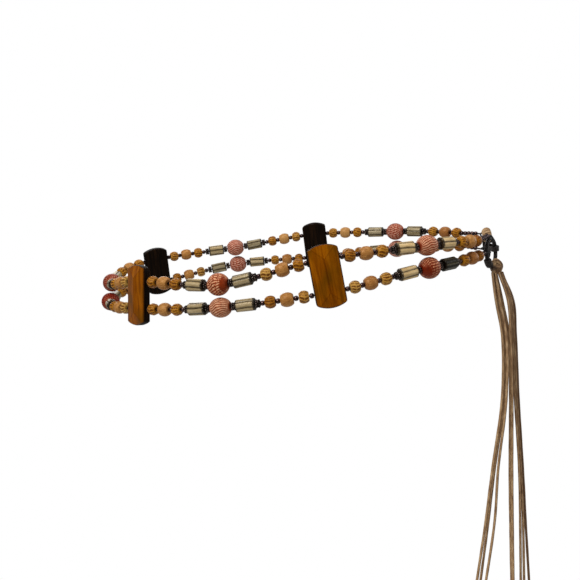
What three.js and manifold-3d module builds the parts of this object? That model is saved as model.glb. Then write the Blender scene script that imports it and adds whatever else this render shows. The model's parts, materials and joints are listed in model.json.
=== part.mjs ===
// A beaded hip belt, as worn: two strands of wood and bone beads that carved bars hold apart, with
// an iron ring at each end. A leather tie lashes the rings together over one hip, is knotted on
// the first ring and lets its eight ends hang.
// Millimetres, +Z up, +X to the right seen from the front, which is -Y. The origin is the middle
// of the hips at the belt's height.
import * as THREE from "three";
import { LoftGeometry } from "three/addons/geometries/LoftGeometry.js";
import { mergeVertices } from "three/addons/utils/BufferGeometryUtils.js";
import Module from "manifold-3d";

const wasm = await Module();
wasm.setup();

// Beads, in the order of their size
const SEED_LENGTH = 3.3;
const SPACER_LENGTH = 3.5;
const GROOVED_LENGTH = 7.7;
const GROOVED_DIAMETER = 10;
const GROOVED_FACE = 7.4;
const SMOOTH_LENGTH = 9.7;
const SMOOTH_DIAMETER = 11;
const SMOOTH_FACE = 8;
const TUBE_LENGTH = 15;
const TUBE_DIAMETER = 10;
const TUBE_LOBES = 6;
const TUBE_LOBE_DEPTH = 0.5;
const TURNED_LENGTH = 16.5;
const TURNED_FACE = 6.5;
const TURNED_ARCS = 4;
const BEAD_SIDES = 10;
const BEAD_GAP = 0.18;
const BORE_CLEARANCE = 0.45;
const BORE_SIDES = 6;

// Diameter of each pair of turned beads, from the first ring round to the second
const TURNED_BEADS = [
  { name: "turned_bead_1", upper: 16, lower: 17 },
  { name: "turned_bead_2", upper: 17.5, lower: 15.5 },
  { name: "turned_bead_3", upper: 16.5, lower: 16.5 },
  { name: "turned_bead_4", upper: 16.5, lower: 16.5 },
  { name: "turned_bead_5", upper: 16.5, lower: 16.5 },
];

// Bars, numbered the same way
const BARS = [
  { name: "bar_1", length: 48, holeSpacing: 25 },
  { name: "bar_2", length: 49.5, holeSpacing: 22.6 },
  { name: "bar_3", length: 48, holeSpacing: 24 },
  { name: "bar_4", length: 48, holeSpacing: 24 },
];
const BAR_WIDTH = 23.3;
const BAR_EDGE_THICKNESS = 6.5;
const BAR_RIDGE_THICKNESS = 8.8;
const BAR_HIP_LENGTH = 11;
const BAR_END_RISE = 3;
const BAR_END_ARCS = 6;

// Thread and rings
const THREAD_DIAMETER = 1.5;
const THREAD_SIDES = 6;
const EYE_STEPS = 10;
const EYE_CLEARANCE = 0.4;
const RING_DIAMETER = 28;
const RING_WIRE = 4;
const RING_STEPS = 20;
const RING_SIDES = 6;
const RING_SPACING = 30.5;
const RING_STANDOFF = 5;
const RING_TURN_DEGREES = 15;
const RINGS = [
  { name: "first_ring", height: 10.5, upperEye: 78, lowerEye: 4 },
  { name: "second_ring", height: 14, upperEye: 40, lowerEye: -25 },
];

// Leather tie
const CORD_DIAMETER = 2.4;
const CORD_SIDES = 8;
const CORD_STEPS = 18;
const LASHING_TURNS = 3;
const LASHING_ARCS = 8;
const TIE_CLEARANCE = 0.35;
const LASHING_CLEARANCE = 0.8;
const KNOT_WIDTH = 14;
const KNOT_DEPTH = 12;
const KNOT_HEIGHT = 14;
const KNOT_SHIFT = 3.2;
const KNOT_DROP = 1;
const KNOT_FOOT_HEIGHT = -6.2;
const KNOT_RING_DEGREES = -80;
const KNOT_SIDES = 12;
const KNOT_BANDS = 8;

// The hips under the belt: how deep each half is as a share of the half width, how they slope
// outward going down, and how far round from the front the first strands end
const FRONT_DEPTH_SHARE = 0.773;
const BACK_DEPTH_SHARE = 0.452;
const HIP_FLARE_DEGREES = 6.5;
const FIRST_END_ARC = 204.5;
const END_LEAD = { upper: 11, lower: 8.5 };
const STRAND_CLEARANCE = 0.5;

// Middle of each free end of the tie, from the knot down, chosen from the photo
const CORD_TOP = KNOT_FOOT_HEIGHT - TIE_CLEARANCE;
const CORD_ROUTES = [
  [
    [175.3, -24.6, CORD_TOP], [179.0, -26.9, -30], [185.7, -28.6, -62], [187.7, -32.6, -117],
    [181.7, -38.2, -181], [177.5, -42.3, -230], [170.2, -48.3, -299],
  ],
  [
    [175.9, -21.9, CORD_TOP], [181.5, -23.3, -31], [188.5, -24.4, -63], [190.4, -27.6, -118],
    [184.6, -32.4, -183], [180.9, -35.8, -233], [174.8, -40.7, -304],
  ],
  [
    [178.0, -24.6, CORD_TOP], [182.5, -26.9, -30], [189.4, -28.5, -62], [191.4, -32.5, -117],
    [186.7, -38.0, -181], [185.4, -41.8, -229], [178.2, -47.7, -299],
  ],
  [
    [178.6, -21.9, CORD_TOP], [185.1, -21.8, -31], [192.6, -21.3, -63], [196.7, -21.6, -120],
    [199.8, -22.1, -187], [203.0, -22.4, -239], [208.1, -22.6, -313],
  ],
  [
    [180.7, -24.6, CORD_TOP], [189.3, -25.8, -30], [193.4, -26.1, -62], [197.4, -26.9, -118],
    [200.6, -28.1, -184], [203.6, -28.8, -235], [208.2, -29.9, -308],
  ],
  [
    [181.3, -21.9, CORD_TOP], [191.5, -21.9, -31], [195.7, -21.4, -63], [201.1, -20.7, -120],
    [208.6, -19.8, -188], [212.4, -19.3, -240], [217.2, -18.7, -315],
  ],
  [
    [183.9, -21.3, CORD_TOP], [193.6, -19.0, -32], [197.8, -18.5, -64], [203.2, -17.8, -121],
    [210.8, -16.9, -189], [215.6, -16.3, -241], [221.0, -15.6, -316],
  ],
  [
    [183.0, -18.6, CORD_TOP], [195.5, -16.2, -32], [199.7, -15.6, -65], [205.2, -15.0, -122],
    [213.0, -14.0, -190], [218.5, -13.3, -242], [226.9, -12.3, -318],
  ],
];

// Height of the belt's middle at the first ring, each turned bead, each bar and the second ring
const MIDDLE_HEIGHTS = [16.8, 15.4, 3.6, -13.6, -20.1, -30.6, -21, -8, 3, 11, 16];

const LENGTHS = {
  seed: SEED_LENGTH,
  spacer: SPACER_LENGTH,
  grooved: GROOVED_LENGTH,
  smooth: SMOOTH_LENGTH,
  tube: TUBE_LENGTH,
};
const SIDES = { upper: 1, lower: -1 };
const HALF_PATTERN = [
  "seed", "grooved", "seed", "smooth", "seed", "grooved", "seed", "spacer", "tube", "spacer",
];
const STATIONS = MIDDLE_HEIGHTS.length;
const patternLength = HALF_PATTERN.reduce((sum, kind) => sum + LENGTHS[kind], 0);
const patternGaps = HALF_PATTERN.length + 2;
const halfRepeatLength = BAR_WIDTH / 2 + patternLength + TURNED_LENGTH / 2 + patternGaps * BEAD_GAP;
const tieSpan = RING_DIAMETER + RING_SPACING;
const beltLength = (STATIONS - 1) * halfRepeatLength + tieSpan;
const boreRadius = THREAD_DIAMETER / 2 + BORE_CLEARANCE;
const hipLoop = makeHipLoop();

function makeHipLoop() {
  const unit = ellipsePair(1);
  return ellipsePair(beltLength / unit.getLength());
}

// Front half from the left side to the right, then the back half
function ellipsePair(halfWidth) {
  const loop = new THREE.CurvePath();
  const frontDepth = halfWidth * FRONT_DEPTH_SHARE;
  const backDepth = halfWidth * BACK_DEPTH_SHARE;
  loop.add(new THREE.EllipseCurve(0, 0, halfWidth, frontDepth, Math.PI, 2 * Math.PI));
  loop.add(new THREE.EllipseCurve(0, 0, halfWidth, backDepth, 0, Math.PI));
  return loop;
}

// Place on the hips at an arc measured from the front centre toward +X
function hipPlace(arc, height) {
  const frontQuarter = hipLoop.getCurveLengths()[0] / 2;
  const share = THREE.MathUtils.euclideanModulo((arc + frontQuarter) / hipLoop.getLength(), 1);
  const point = hipLoop.getPoint(share);
  const tangent = hipLoop.getTangent(share);
  return {
    position: new THREE.Vector3(point.x, point.y, height),
    along: new THREE.Vector3(tangent.x, tangent.y, 0),
    outward: new THREE.Vector3(tangent.y, -tangent.x, 0),
  };
}

// Arc of a station, where station 0 is the first ring's edge and the last is the second ring's
function stationArc(station) {
  return FIRST_END_ARC - station * halfRepeatLength;
}

function middleHeight(station) {
  const points = MIDDLE_HEIGHTS.map((height, index) => new THREE.Vector2(index, height));
  return new THREE.SplineCurve(points).getPoint(station / (STATIONS - 1)).y;
}

function middlePoint(station) {
  return hipPlace(stationArc(station), middleHeight(station)).position;
}

// Half the distance between the strands' middles at a whole station
function stationHalfGap(station) {
  if (station === 0 || station === STATIONS - 1) {
    return SMOOTH_DIAMETER / 2 + STRAND_CLEARANCE;
  }
  if (station % 2 === 0) {
    return BARS[station / 2 - 1].holeSpacing / 2;
  }
  const pair = TURNED_BEADS[(station - 1) / 2];
  return (pair.upper + pair.lower) / 4 + STRAND_CLEARANCE;
}

function halfGap(station) {
  const before = Math.min(Math.floor(station), STATIONS - 2);
  const blend = THREE.MathUtils.smoothstep(station - before, 0, 1);
  return THREE.MathUtils.lerp(stationHalfGap(before), stationHalfGap(before + 1), blend);
}

// Frame of the belt as a ribbon on the hips: +X along it to the right, +Z up it, -Y outward
function ribbonFrame(station) {
  const step = 0.02;
  const from = Math.min(station + step, STATIONS - 1);
  const to = Math.max(station - step, 0);
  const along = middlePoint(to).sub(middlePoint(from)).normalize();
  const place = hipPlace(stationArc(station), middleHeight(station));
  const flare = THREE.MathUtils.degToRad(HIP_FLARE_DEGREES);
  const up = place.outward.clone().multiplyScalar(-Math.sin(flare));
  up.z = Math.cos(flare);
  up.addScaledVector(along, -up.dot(along)).normalize();
  return { position: place.position, along, up };
}

// Point on the upper strand's middle line (side 1) or the lower one's (side -1)
function strandPoint(station, side) {
  const frame = ribbonFrame(station);
  return frame.position.addScaledVector(frame.up, side * halfGap(station));
}

// A stretch of a strand between two stations, read by its length in space
class StrandStretch {
  constructor(from, to, side) {
    const samples = 60;
    this.points = [];
    this.lengths = [0];
    for (let index = 0; index <= samples; index += 1) {
      const station = THREE.MathUtils.lerp(from, to, index / samples);
      this.points.push(strandPoint(station, side));
      if (index > 0) {
        const step = this.points[index].distanceTo(this.points[index - 1]);
        this.lengths.push(this.lengths[index - 1] + step);
      }
    }
    this.length = this.lengths[samples];
  }

  pointAt(distance) {
    let index = 1;
    while (index < this.lengths.length - 1 && this.lengths[index] < distance) {
      index += 1;
    }
    const span = this.lengths[index] - this.lengths[index - 1];
    const share = (distance - this.lengths[index - 1]) / span;
    return this.points[index - 1].clone().lerp(this.points[index], share);
  }
}

// One strand from a bar or ring to the next turned bead. The thread bends only inside seed beads
// and against turned beads, and each bead sits on the straight run between two bends.
function halfRepeat(evenStation, oddStation, side, lead) {
  const stretch = new StrandStretch(evenStation, oddStation, side);
  const gap = (stretch.length - lead - patternLength - TURNED_LENGTH / 2) / patternGaps;
  const marks = [];
  let distance = lead + gap;
  for (const kind of HALF_PATTERN) {
    marks.push({ kind, middle: distance + LENGTHS[kind] / 2 });
    distance += LENGTHS[kind] + gap;
  }
  const seeds = marks.filter(({ kind }) => kind === "seed").map(({ middle }) => middle);
  const bends = [...seeds, distance - gap / 2];
  const items = marks.map(({ kind, middle }) => {
    const next = bends.findIndex((bend) => bend > middle);
    const from = stretch.pointAt(bends[next - 1]);
    const to = stretch.pointAt(bends[next]);
    const share = (middle - bends[next - 1]) / (bends[next] - bends[next - 1]);
    return { kind, centre: from.lerp(to, share) };
  });
  return [...items, { kind: "bend", centre: stretch.pointAt(distance - gap / 2) }];
}

// One whole strand in order, from the first ring round to the second
function strandRun(strand) {
  const side = SIDES[strand];
  const lastStation = STATIONS - 1;
  const run = [];
  for (let station = 0; station < lastStation; station += 2) {
    const turned = station + 1;
    const firstLead = station === 0 ? END_LEAD[strand] : BAR_WIDTH / 2;
    const lastLead = turned + 1 === lastStation ? END_LEAD[strand] : BAR_WIDTH / 2;
    const before = halfRepeat(station, turned, side, firstLead);
    const after = halfRepeat(turned + 1, turned, side, lastLead).reverse();
    if (station > 0) {
      run.push(between("bar", run[run.length - 1], before[0]));
    }
    run.push(...before, between("turned", before[before.length - 1], after[0]), ...after);
  }
  return run.map((item, index) => ({ ...item, along: runDirection(run, index) }));
}

// A turned bead or a bar, midway between two bends of the thread
function between(kind, before, after) {
  return { kind, centre: before.centre.clone().add(after.centre).multiplyScalar(0.5) };
}

// Direction at an item of the run, from the items before and after it
function runDirection(run, index) {
  const before = run[Math.max(index - 1, 0)].centre;
  const after = run[Math.min(index + 1, run.length - 1)].centre;
  return after.clone().sub(before).normalize();
}

// Closed geometry with shared corners and no collapsed triangles
function closedGeometry(geometry) {
  const bare = new THREE.BufferGeometry().copy(geometry);
  bare.deleteAttribute("normal");
  bare.deleteAttribute("uv");
  const merged = mergeVertices(bare, 1e-4);
  const corners = merged.index.array;
  const kept = [];
  for (let index = 0; index < corners.length; index += 3) {
    const [a, b, c] = [corners[index], corners[index + 1], corners[index + 2]];
    if (a !== b && b !== c && c !== a) {
      kept.push(a, b, c);
    }
  }
  merged.setIndex(kept);
  return merged;
}

function toSolid(geometry, matrix = new THREE.Matrix4()) {
  const closed = closedGeometry(geometry).applyMatrix4(matrix);
  return new wasm.Manifold(
    new wasm.Mesh({
      numProp: 3,
      vertProperties: new Float32Array(closed.attributes.position.array),
      triVerts: new Uint32Array(closed.index.array),
    }),
  );
}

function toGeometry(solid) {
  const mesh = solid.getMesh();
  const geometry = new THREE.BufferGeometry();
  geometry.setAttribute("position", new THREE.BufferAttribute(mesh.vertProperties, 3));
  geometry.setIndex(new THREE.BufferAttribute(mesh.triVerts, 1));
  return geometry;
}

function circleShape(radius, sides) {
  const shape = new THREE.Shape();
  for (let index = 0; index < sides; index += 1) {
    const angle = (2 * Math.PI * index) / sides;
    shape[index === 0 ? "moveTo" : "lineTo"](radius * Math.cos(angle), radius * Math.sin(angle));
  }
  shape.closePath();
  return shape;
}

function tubeGeometry(path, radius, sides, steps) {
  return new THREE.ExtrudeGeometry(circleShape(radius, sides), { extrudePath: path, steps });
}

// Turns a lathe's own axis (+Y) along an item's direction and moves it to the item's centre
function placeMatrix({ centre, along }) {
  const turn = new THREE.Quaternion().setFromUnitVectors(new THREE.Vector3(0, 1, 0), along);
  return new THREE.Matrix4().compose(centre, turn, new THREE.Vector3(1, 1, 1));
}

// Round section of a strand, some way along from an item's middle
function strandSection({ centre, along }, offset, radius) {
  const middle = centre.clone().addScaledVector(along, offset);
  const up = new THREE.Vector3(0, 0, 1).addScaledVector(along, -along.z).normalize();
  const across = up.clone().cross(along);
  return Array.from({ length: BEAD_SIDES }, (_, index) => {
    const angle = (2 * Math.PI * index) / BEAD_SIDES;
    const point = middle.clone().addScaledVector(across, radius * Math.cos(angle));
    return point.addScaledVector(up, radius * Math.sin(angle));
  });
}

// Sections of a bead that is fused to the thread: out at one face, over the belly and back in
function barrelSections(item, { length, diameter, face }) {
  return [
    strandSection(item, -length / 2, THREAD_DIAMETER / 2),
    strandSection(item, -length / 2, face / 2),
    strandSection(item, 0, diameter / 2),
    strandSection(item, length / 2, face / 2),
    strandSection(item, length / 2, THREAD_DIAMETER / 2),
  ];
}

const BARRELS = {
  grooved: { length: GROOVED_LENGTH, diameter: GROOVED_DIAMETER, face: GROOVED_FACE },
  smooth: { length: SMOOTH_LENGTH, diameter: SMOOTH_DIAMETER, face: SMOOTH_FACE },
};

// Round bead drilled through, closed on its own hole
function turnedGeometry(diameter) {
  const edge = Math.acos(TURNED_FACE / diameter);
  const profile = [new THREE.Vector2(boreRadius, -TURNED_LENGTH / 2)];
  for (let index = 0; index <= TURNED_ARCS; index += 1) {
    const angle = THREE.MathUtils.lerp(-edge, edge, index / TURNED_ARCS);
    const height = ((TURNED_LENGTH / 2) * Math.sin(angle)) / Math.sin(edge);
    profile.push(new THREE.Vector2((diameter / 2) * Math.cos(angle), height));
  }
  profile.push(new THREE.Vector2(boreRadius, TURNED_LENGTH / 2));
  profile.push(profile[0].clone());
  return new THREE.LatheGeometry(profile, BEAD_SIDES);
}

// Bone tube with shallow lobes round it, drilled through
function boneTubeGeometry() {
  const shape = new THREE.Shape();
  const corners = 2 * TUBE_LOBES;
  for (let index = 0; index < corners; index += 1) {
    const angle = (2 * Math.PI * index) / corners;
    const radius = TUBE_DIAMETER / 2 - (index % 2) * TUBE_LOBE_DEPTH;
    shape[index === 0 ? "moveTo" : "lineTo"](radius * Math.cos(angle), radius * Math.sin(angle));
  }
  shape.closePath();
  shape.holes.push(circleShape(boreRadius, BORE_SIDES));
  const geometry = new THREE.ExtrudeGeometry(shape, { depth: TUBE_LENGTH, bevelEnabled: false });
  geometry.translate(0, 0, -TUBE_LENGTH / 2);
  return geometry.rotateX(-Math.PI / 2);
}

// Ring of wire about +Y
function wireRingGeometry(radius, wire, sides, steps) {
  const profile = circleShape(wire / 2, sides).getPoints();
  const points = profile.map((point) => new THREE.Vector2(point.x + radius, point.y));
  return new THREE.LatheGeometry(points, steps);
}

// Front outline of a bar, its short ends arched
function barOutline(length) {
  const half = BAR_WIDTH / 2;
  const shoulder = length / 2 - BAR_END_RISE;
  const shape = new THREE.Shape();
  shape.moveTo(-half, -shoulder);
  for (let index = 1; index <= BAR_END_ARCS; index += 1) {
    const across = THREE.MathUtils.lerp(-half, half, index / BAR_END_ARCS);
    shape.lineTo(across, -shoulder - BAR_END_RISE * (1 - (across / half) ** 2));
  }
  for (let index = 0; index <= BAR_END_ARCS; index += 1) {
    const across = THREE.MathUtils.lerp(half, -half, index / BAR_END_ARCS);
    shape.lineTo(across, shoulder + BAR_END_RISE * (1 - (across / half) ** 2));
  }
  shape.closePath();
  return shape;
}

// Outline with a flat back and a front that rises from its edges to a ridge over `run`
function roofShape(halfLength, run) {
  const back = BAR_EDGE_THICKNESS / 2;
  const rise = BAR_RIDGE_THICKNESS - BAR_EDGE_THICKNESS;
  const shape = new THREE.Shape();
  shape.moveTo(-halfLength, back);
  shape.lineTo(-halfLength, -back);
  shape.lineTo(-halfLength + run, -back - rise);
  shape.lineTo(halfLength - run, -back - rise);
  shape.lineTo(halfLength, -back);
  shape.lineTo(halfLength, back);
  shape.closePath();
  return shape;
}

function barGeometry({ length, holeSpacing }) {
  const whole = { depth: 2 * length, bevelEnabled: false };
  const outline = new THREE.ExtrudeGeometry(barOutline(length), whole);
  outline.translate(0, 0, -length).rotateX(Math.PI / 2);
  const ridge = (BAR_WIDTH / 2) * 0.97;
  const acrossRoof = new THREE.ExtrudeGeometry(roofShape(BAR_WIDTH / 2, ridge), whole);
  acrossRoof.translate(0, 0, -length);
  const alongRoof = new THREE.ExtrudeGeometry(roofShape(length / 2, BAR_HIP_LENGTH), whole);
  alongRoof.translate(0, 0, -length).rotateY(Math.PI / 2);
  let solid = toSolid(outline).intersect(toSolid(acrossRoof)).intersect(toSolid(alongRoof));
  for (const side of Object.values(SIDES)) {
    const bore = new THREE.CylinderGeometry(boreRadius, boreRadius, 2 * BAR_WIDTH, BORE_SIDES);
    bore.rotateZ(Math.PI / 2).translate(0, 0, (side * holeSpacing) / 2);
    solid = solid.subtract(toSolid(bore));
  }
  return toGeometry(solid);
}

// Middle and directions of a ring that lies on the hips: left and right along them, up the slope
function ringFrame(index) {
  const edgeArc = index === 0 ? stationArc(0) : stationArc(STATIONS - 1);
  const inward = index === 0 ? 1 : -1;
  const arc = edgeArc + (inward * RING_DIAMETER) / 2;
  const place = hipPlace(arc, RINGS[index].height);
  const turn = THREE.MathUtils.degToRad(RING_TURN_DEGREES);
  const right = place.along.clone().multiplyScalar(Math.cos(turn));
  right.addScaledVector(place.outward, Math.sin(turn));
  const normal = new THREE.Vector3(right.y, -right.x, 0);
  const flare = THREE.MathUtils.degToRad(HIP_FLARE_DEGREES);
  const up = normal.clone().multiplyScalar(-Math.sin(flare)).setZ(Math.cos(flare));
  const centre = place.position.clone().addScaledVector(place.outward, RING_STANDOFF);
  return { centre, right, up, normal: right.clone().cross(up), toStrands: -inward };
}

// Point on a ring's wire and the wire's direction there, at an angle up from one side
function ringWire(frame, sideways, degrees) {
  const angle = THREE.MathUtils.degToRad(degrees);
  const radius = (RING_DIAMETER - RING_WIRE) / 2;
  const side = frame.right.clone().multiplyScalar(sideways);
  const spoke = side.clone().multiplyScalar(Math.cos(angle));
  spoke.addScaledVector(frame.up, Math.sin(angle));
  const along = side.multiplyScalar(-Math.sin(angle));
  along.addScaledVector(frame.up, Math.cos(angle));
  return { centre: frame.centre.clone().addScaledVector(spoke, radius), along, spoke };
}

// Middle of a ring's wire where it comes nearest to a point
function wireToward(frame, target) {
  const offset = target.clone().sub(frame.centre);
  const sideways = -frame.toStrands;
  const angle = Math.atan2(offset.dot(frame.up), sideways * offset.dot(frame.right));
  return ringWire(frame, sideways, THREE.MathUtils.radToDeg(angle)).centre;
}

// Thread's eye round a ring's wire, where the strand joins it, and the strand's direction there
function threadEye(index, strand, strandEnd) {
  const frame = ringFrame(index);
  const degrees = RINGS[index][`${strand}Eye`];
  const wire = ringWire(frame, frame.toStrands, degrees);
  const radius = (RING_WIRE + THREAD_DIAMETER) / 2 + EYE_CLEARANCE;
  const toStrand = strandEnd.clone().sub(wire.centre);
  toStrand.addScaledVector(wire.along, -toStrand.dot(wire.along)).normalize();
  const geometry = wireRingGeometry(radius, THREAD_DIAMETER, THREAD_SIDES, EYE_STEPS);
  const joint = wire.centre.clone().addScaledVector(toStrand, radius);
  const along = index === 0 ? strandEnd.clone().sub(joint) : joint.clone().sub(strandEnd);
  return { solid: toSolid(geometry, placeMatrix(wire)), centre: joint, along: along.normalize() };
}

// A bend is kept where the thread runs bare beside a bar, a tube or a turned bead
function isBareBend(run, index) {
  const barrelBefore = index > 0 && run[index - 1].kind in BARRELS;
  const barrelAfter = index < run.length - 1 && run[index + 1].kind in BARRELS;
  return run[index].kind === "bend" || (run[index].kind === "seed" && !(barrelBefore && barrelAfter));
}

// One strand: its thread with an eye on each ring, and the wood beads that are fused to it
function strandGeometry(strand, run) {
  const ends = [run[0], run[run.length - 1]];
  const eyes = ends.map((end, index) => threadEye(index, strand, end.centre));
  const sections = [strandSection(eyes[0], 0, THREAD_DIAMETER / 2)];
  run.forEach((item, index) => {
    if (item.kind in BARRELS) {
      sections.push(...barrelSections(item, BARRELS[item.kind]));
    } else if (isBareBend(run, index)) {
      sections.push(strandSection(item, 0, THREAD_DIAMETER / 2));
    }
  });
  sections.push(strandSection(eyes[1], 0, THREAD_DIAMETER / 2));
  const body = new LoftGeometry(sections, { capStart: true, capEnd: true });
  return toGeometry(toSolid(body).add(eyes[0].solid).add(eyes[1].solid));
}

const MATERIALS = {
  strand: new THREE.MeshStandardMaterial({ color: 0xa8702c, roughness: 0.5, metalness: 0 }),
  turned: new THREE.MeshStandardMaterial({ color: 0x9c4a2c, roughness: 0.6, metalness: 0 }),
  tube: new THREE.MeshStandardMaterial({ color: 0xc8b890, roughness: 0.5, metalness: 0 }),
  bar: new THREE.MeshStandardMaterial({ color: 0x8a4b08, roughness: 0.3, metalness: 0 }),
  ring: new THREE.MeshStandardMaterial({ color: 0x1c1612, roughness: 0.45, metalness: 0.6 }),
  tie: new THREE.MeshStandardMaterial({ color: 0xb09870, roughness: 0.75, metalness: 0 }),
};

const belt = new THREE.Group();

function addMesh(name, geometry, material) {
  const mesh = new THREE.Mesh(closedGeometry(geometry), material);
  mesh.name = name;
  belt.add(mesh);
  return mesh;
}

function addStrand(strand) {
  const run = strandRun(strand);
  addMesh(`${strand}_strand`, strandGeometry(strand, run), MATERIALS.strand);
  const tubes = run.filter(({ kind }) => kind === "tube");
  tubes.forEach((item, index) => {
    const mesh = addMesh(`${strand}_bone_tube_${index + 1}`, boneTubeGeometry(), MATERIALS.tube);
    mesh.applyMatrix4(placeMatrix(item));
  });
  const turned = run.filter(({ kind }) => kind === "turned");
  turned.forEach((item, index) => {
    const pair = TURNED_BEADS[index];
    const geometry = turnedGeometry(pair[strand]);
    const mesh = addMesh(`${strand}_${pair.name}`, geometry, MATERIALS.turned);
    mesh.applyMatrix4(placeMatrix(item));
  });
  return run.filter(({ kind }) => kind === "bar");
}

// A bar sits where both strands' straight runs meet its holes
function addBar(bar, upper, lower) {
  const along = upper.along.clone().add(lower.along).normalize().negate();
  const up = upper.centre.clone().sub(lower.centre);
  up.addScaledVector(along, -up.dot(along)).normalize();
  const basis = new THREE.Matrix4().makeBasis(along, up.clone().cross(along), up);
  basis.setPosition(upper.centre.clone().add(lower.centre).multiplyScalar(0.5));
  addMesh(bar.name, barGeometry(bar), MATERIALS.bar).applyMatrix4(basis);
}

// Each ring lies on the hips with its axis across the wire's plane
function addRing(ring, index) {
  const frame = ringFrame(index);
  const radius = (RING_DIAMETER - RING_WIRE) / 2;
  const geometry = wireRingGeometry(radius, RING_WIRE, RING_SIDES, RING_STEPS);
  const item = { centre: frame.centre, along: frame.normal };
  addMesh(ring.name, geometry, MATERIALS.ring).applyMatrix4(placeMatrix(item));
}

// Band of the tie's turns, round the facing sides of both rings
function addLashing() {
  const ends = [ringFrame(0), ringFrame(1)];
  const wires = ends.map((frame, index) => wireToward(frame, ends[1 - index].centre));
  const height = LASHING_TURNS * CORD_DIAMETER;
  const wireRadius = (RING_DIAMETER - RING_WIRE) / 2;
  const wireBow = wireRadius - Math.sqrt(wireRadius ** 2 - (height / 2) ** 2);
  const inner = RING_WIRE / 2 + wireBow + LASHING_CLEARANCE;
  const reach = wires[0].distanceTo(wires[1]) / 2;
  const band = stadiumShape(reach, inner + CORD_DIAMETER);
  band.holes.push(stadiumShape(reach, inner));
  const geometry = new THREE.ExtrudeGeometry(band, { depth: height, bevelEnabled: false });
  geometry.translate(0, 0, -height / 2);
  const along = wires[1].clone().sub(wires[0]).normalize();
  const up = ends[0].up.clone().add(ends[1].up);
  up.addScaledVector(along, -up.dot(along)).normalize();
  const basis = new THREE.Matrix4().makeBasis(along, up.clone().cross(along), up);
  basis.setPosition(wires[0].clone().add(wires[1]).multiplyScalar(0.5));
  addMesh("tie_lashing", geometry, MATERIALS.tie).applyMatrix4(basis);
}

// Slot shape with its two round ends about points this far either side of the middle
function stadiumShape(reach, radius) {
  const shape = new THREE.Shape();
  for (let index = 0; index <= 2 * LASHING_ARCS + 1; index += 1) {
    const end = index <= LASHING_ARCS ? 1 : -1;
    const steps = index - (index <= LASHING_ARCS ? 0 : 1);
    const angle = -Math.PI / 2 + (Math.PI * steps) / LASHING_ARCS;
    const x = end * reach + radius * Math.cos(angle);
    shape[index === 0 ? "moveTo" : "lineTo"](x, radius * Math.sin(angle));
  }
  shape.closePath();
  return shape;
}

// Rounded knot drawn tight on the first ring's wire, cut flat below where the ends come out
function addKnot() {
  const frame = ringFrame(0);
  const wire = ringWire(frame, -frame.toStrands, KNOT_RING_DEGREES);
  const centre = wire.centre.clone().addScaledVector(frame.normal, KNOT_SHIFT);
  centre.z -= KNOT_DROP;
  const ball = new THREE.SphereGeometry(0.5, KNOT_SIDES, KNOT_BANDS).rotateX(Math.PI / 2);
  ball.scale(KNOT_WIDTH, KNOT_DEPTH, KNOT_HEIGHT);
  ball.translate(centre.x, centre.y, centre.z);
  const ringRadius = (RING_DIAMETER - RING_WIRE) / 2;
  const channelWire = RING_WIRE + 2 * TIE_CLEARANCE;
  const channel = wireRingGeometry(ringRadius, channelWire, RING_SIDES, 2 * RING_STEPS);
  const item = { centre: frame.centre, along: frame.normal };
  const below = new THREE.BoxGeometry(2 * KNOT_WIDTH, 2 * KNOT_DEPTH, KNOT_HEIGHT);
  below.translate(centre.x, centre.y, KNOT_FOOT_HEIGHT - KNOT_HEIGHT / 2);
  const solid = toSolid(ball).subtract(toSolid(channel, placeMatrix(item)));
  addMesh("tie_knot", toGeometry(solid.subtract(toSolid(below))), MATERIALS.tie);
}

// Free ends of the tie, each from just below the knot
function addTieCords() {
  CORD_ROUTES.forEach((route, index) => {
    const points = route.map(([x, y, z]) => new THREE.Vector3(x, y, z));
    const path = new THREE.CatmullRomCurve3(points);
    const geometry = tubeGeometry(path, CORD_DIAMETER / 2, CORD_SIDES, CORD_STEPS);
    addMesh(`tie_cord_${index + 1}`, geometry, MATERIALS.tie);
  });
}

const upperBars = addStrand("upper");
const lowerBars = addStrand("lower");
BARS.forEach((bar, index) => addBar(bar, upperBars[index], lowerBars[index]));
RINGS.forEach((ring, index) => addRing(ring, index));
addLashing();
addKnot();
addTieCords();

export default belt;
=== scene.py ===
"""Visual model of a beaded hip belt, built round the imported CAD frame.

Two strands of wood and bone beads run between two iron rings. Faceted horn bars hold the strands
apart, and a leather tie lashes the rings together and lets its eight ends hang. Sizes are in
millimetres, +Z up and -Y to the front, until a mesh is made in metres.
"""

import json
import logging
import math
from dataclasses import dataclass, field
from enum import Enum
from functools import partial

import bpy
import numpy as np
from bpy.types import (
    Collection, GeometryNodeTree, Material, Mesh, Node, NodeOutputs, NodeSocket, NodeTree, Object,
)
from mathutils import Matrix, Vector

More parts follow.
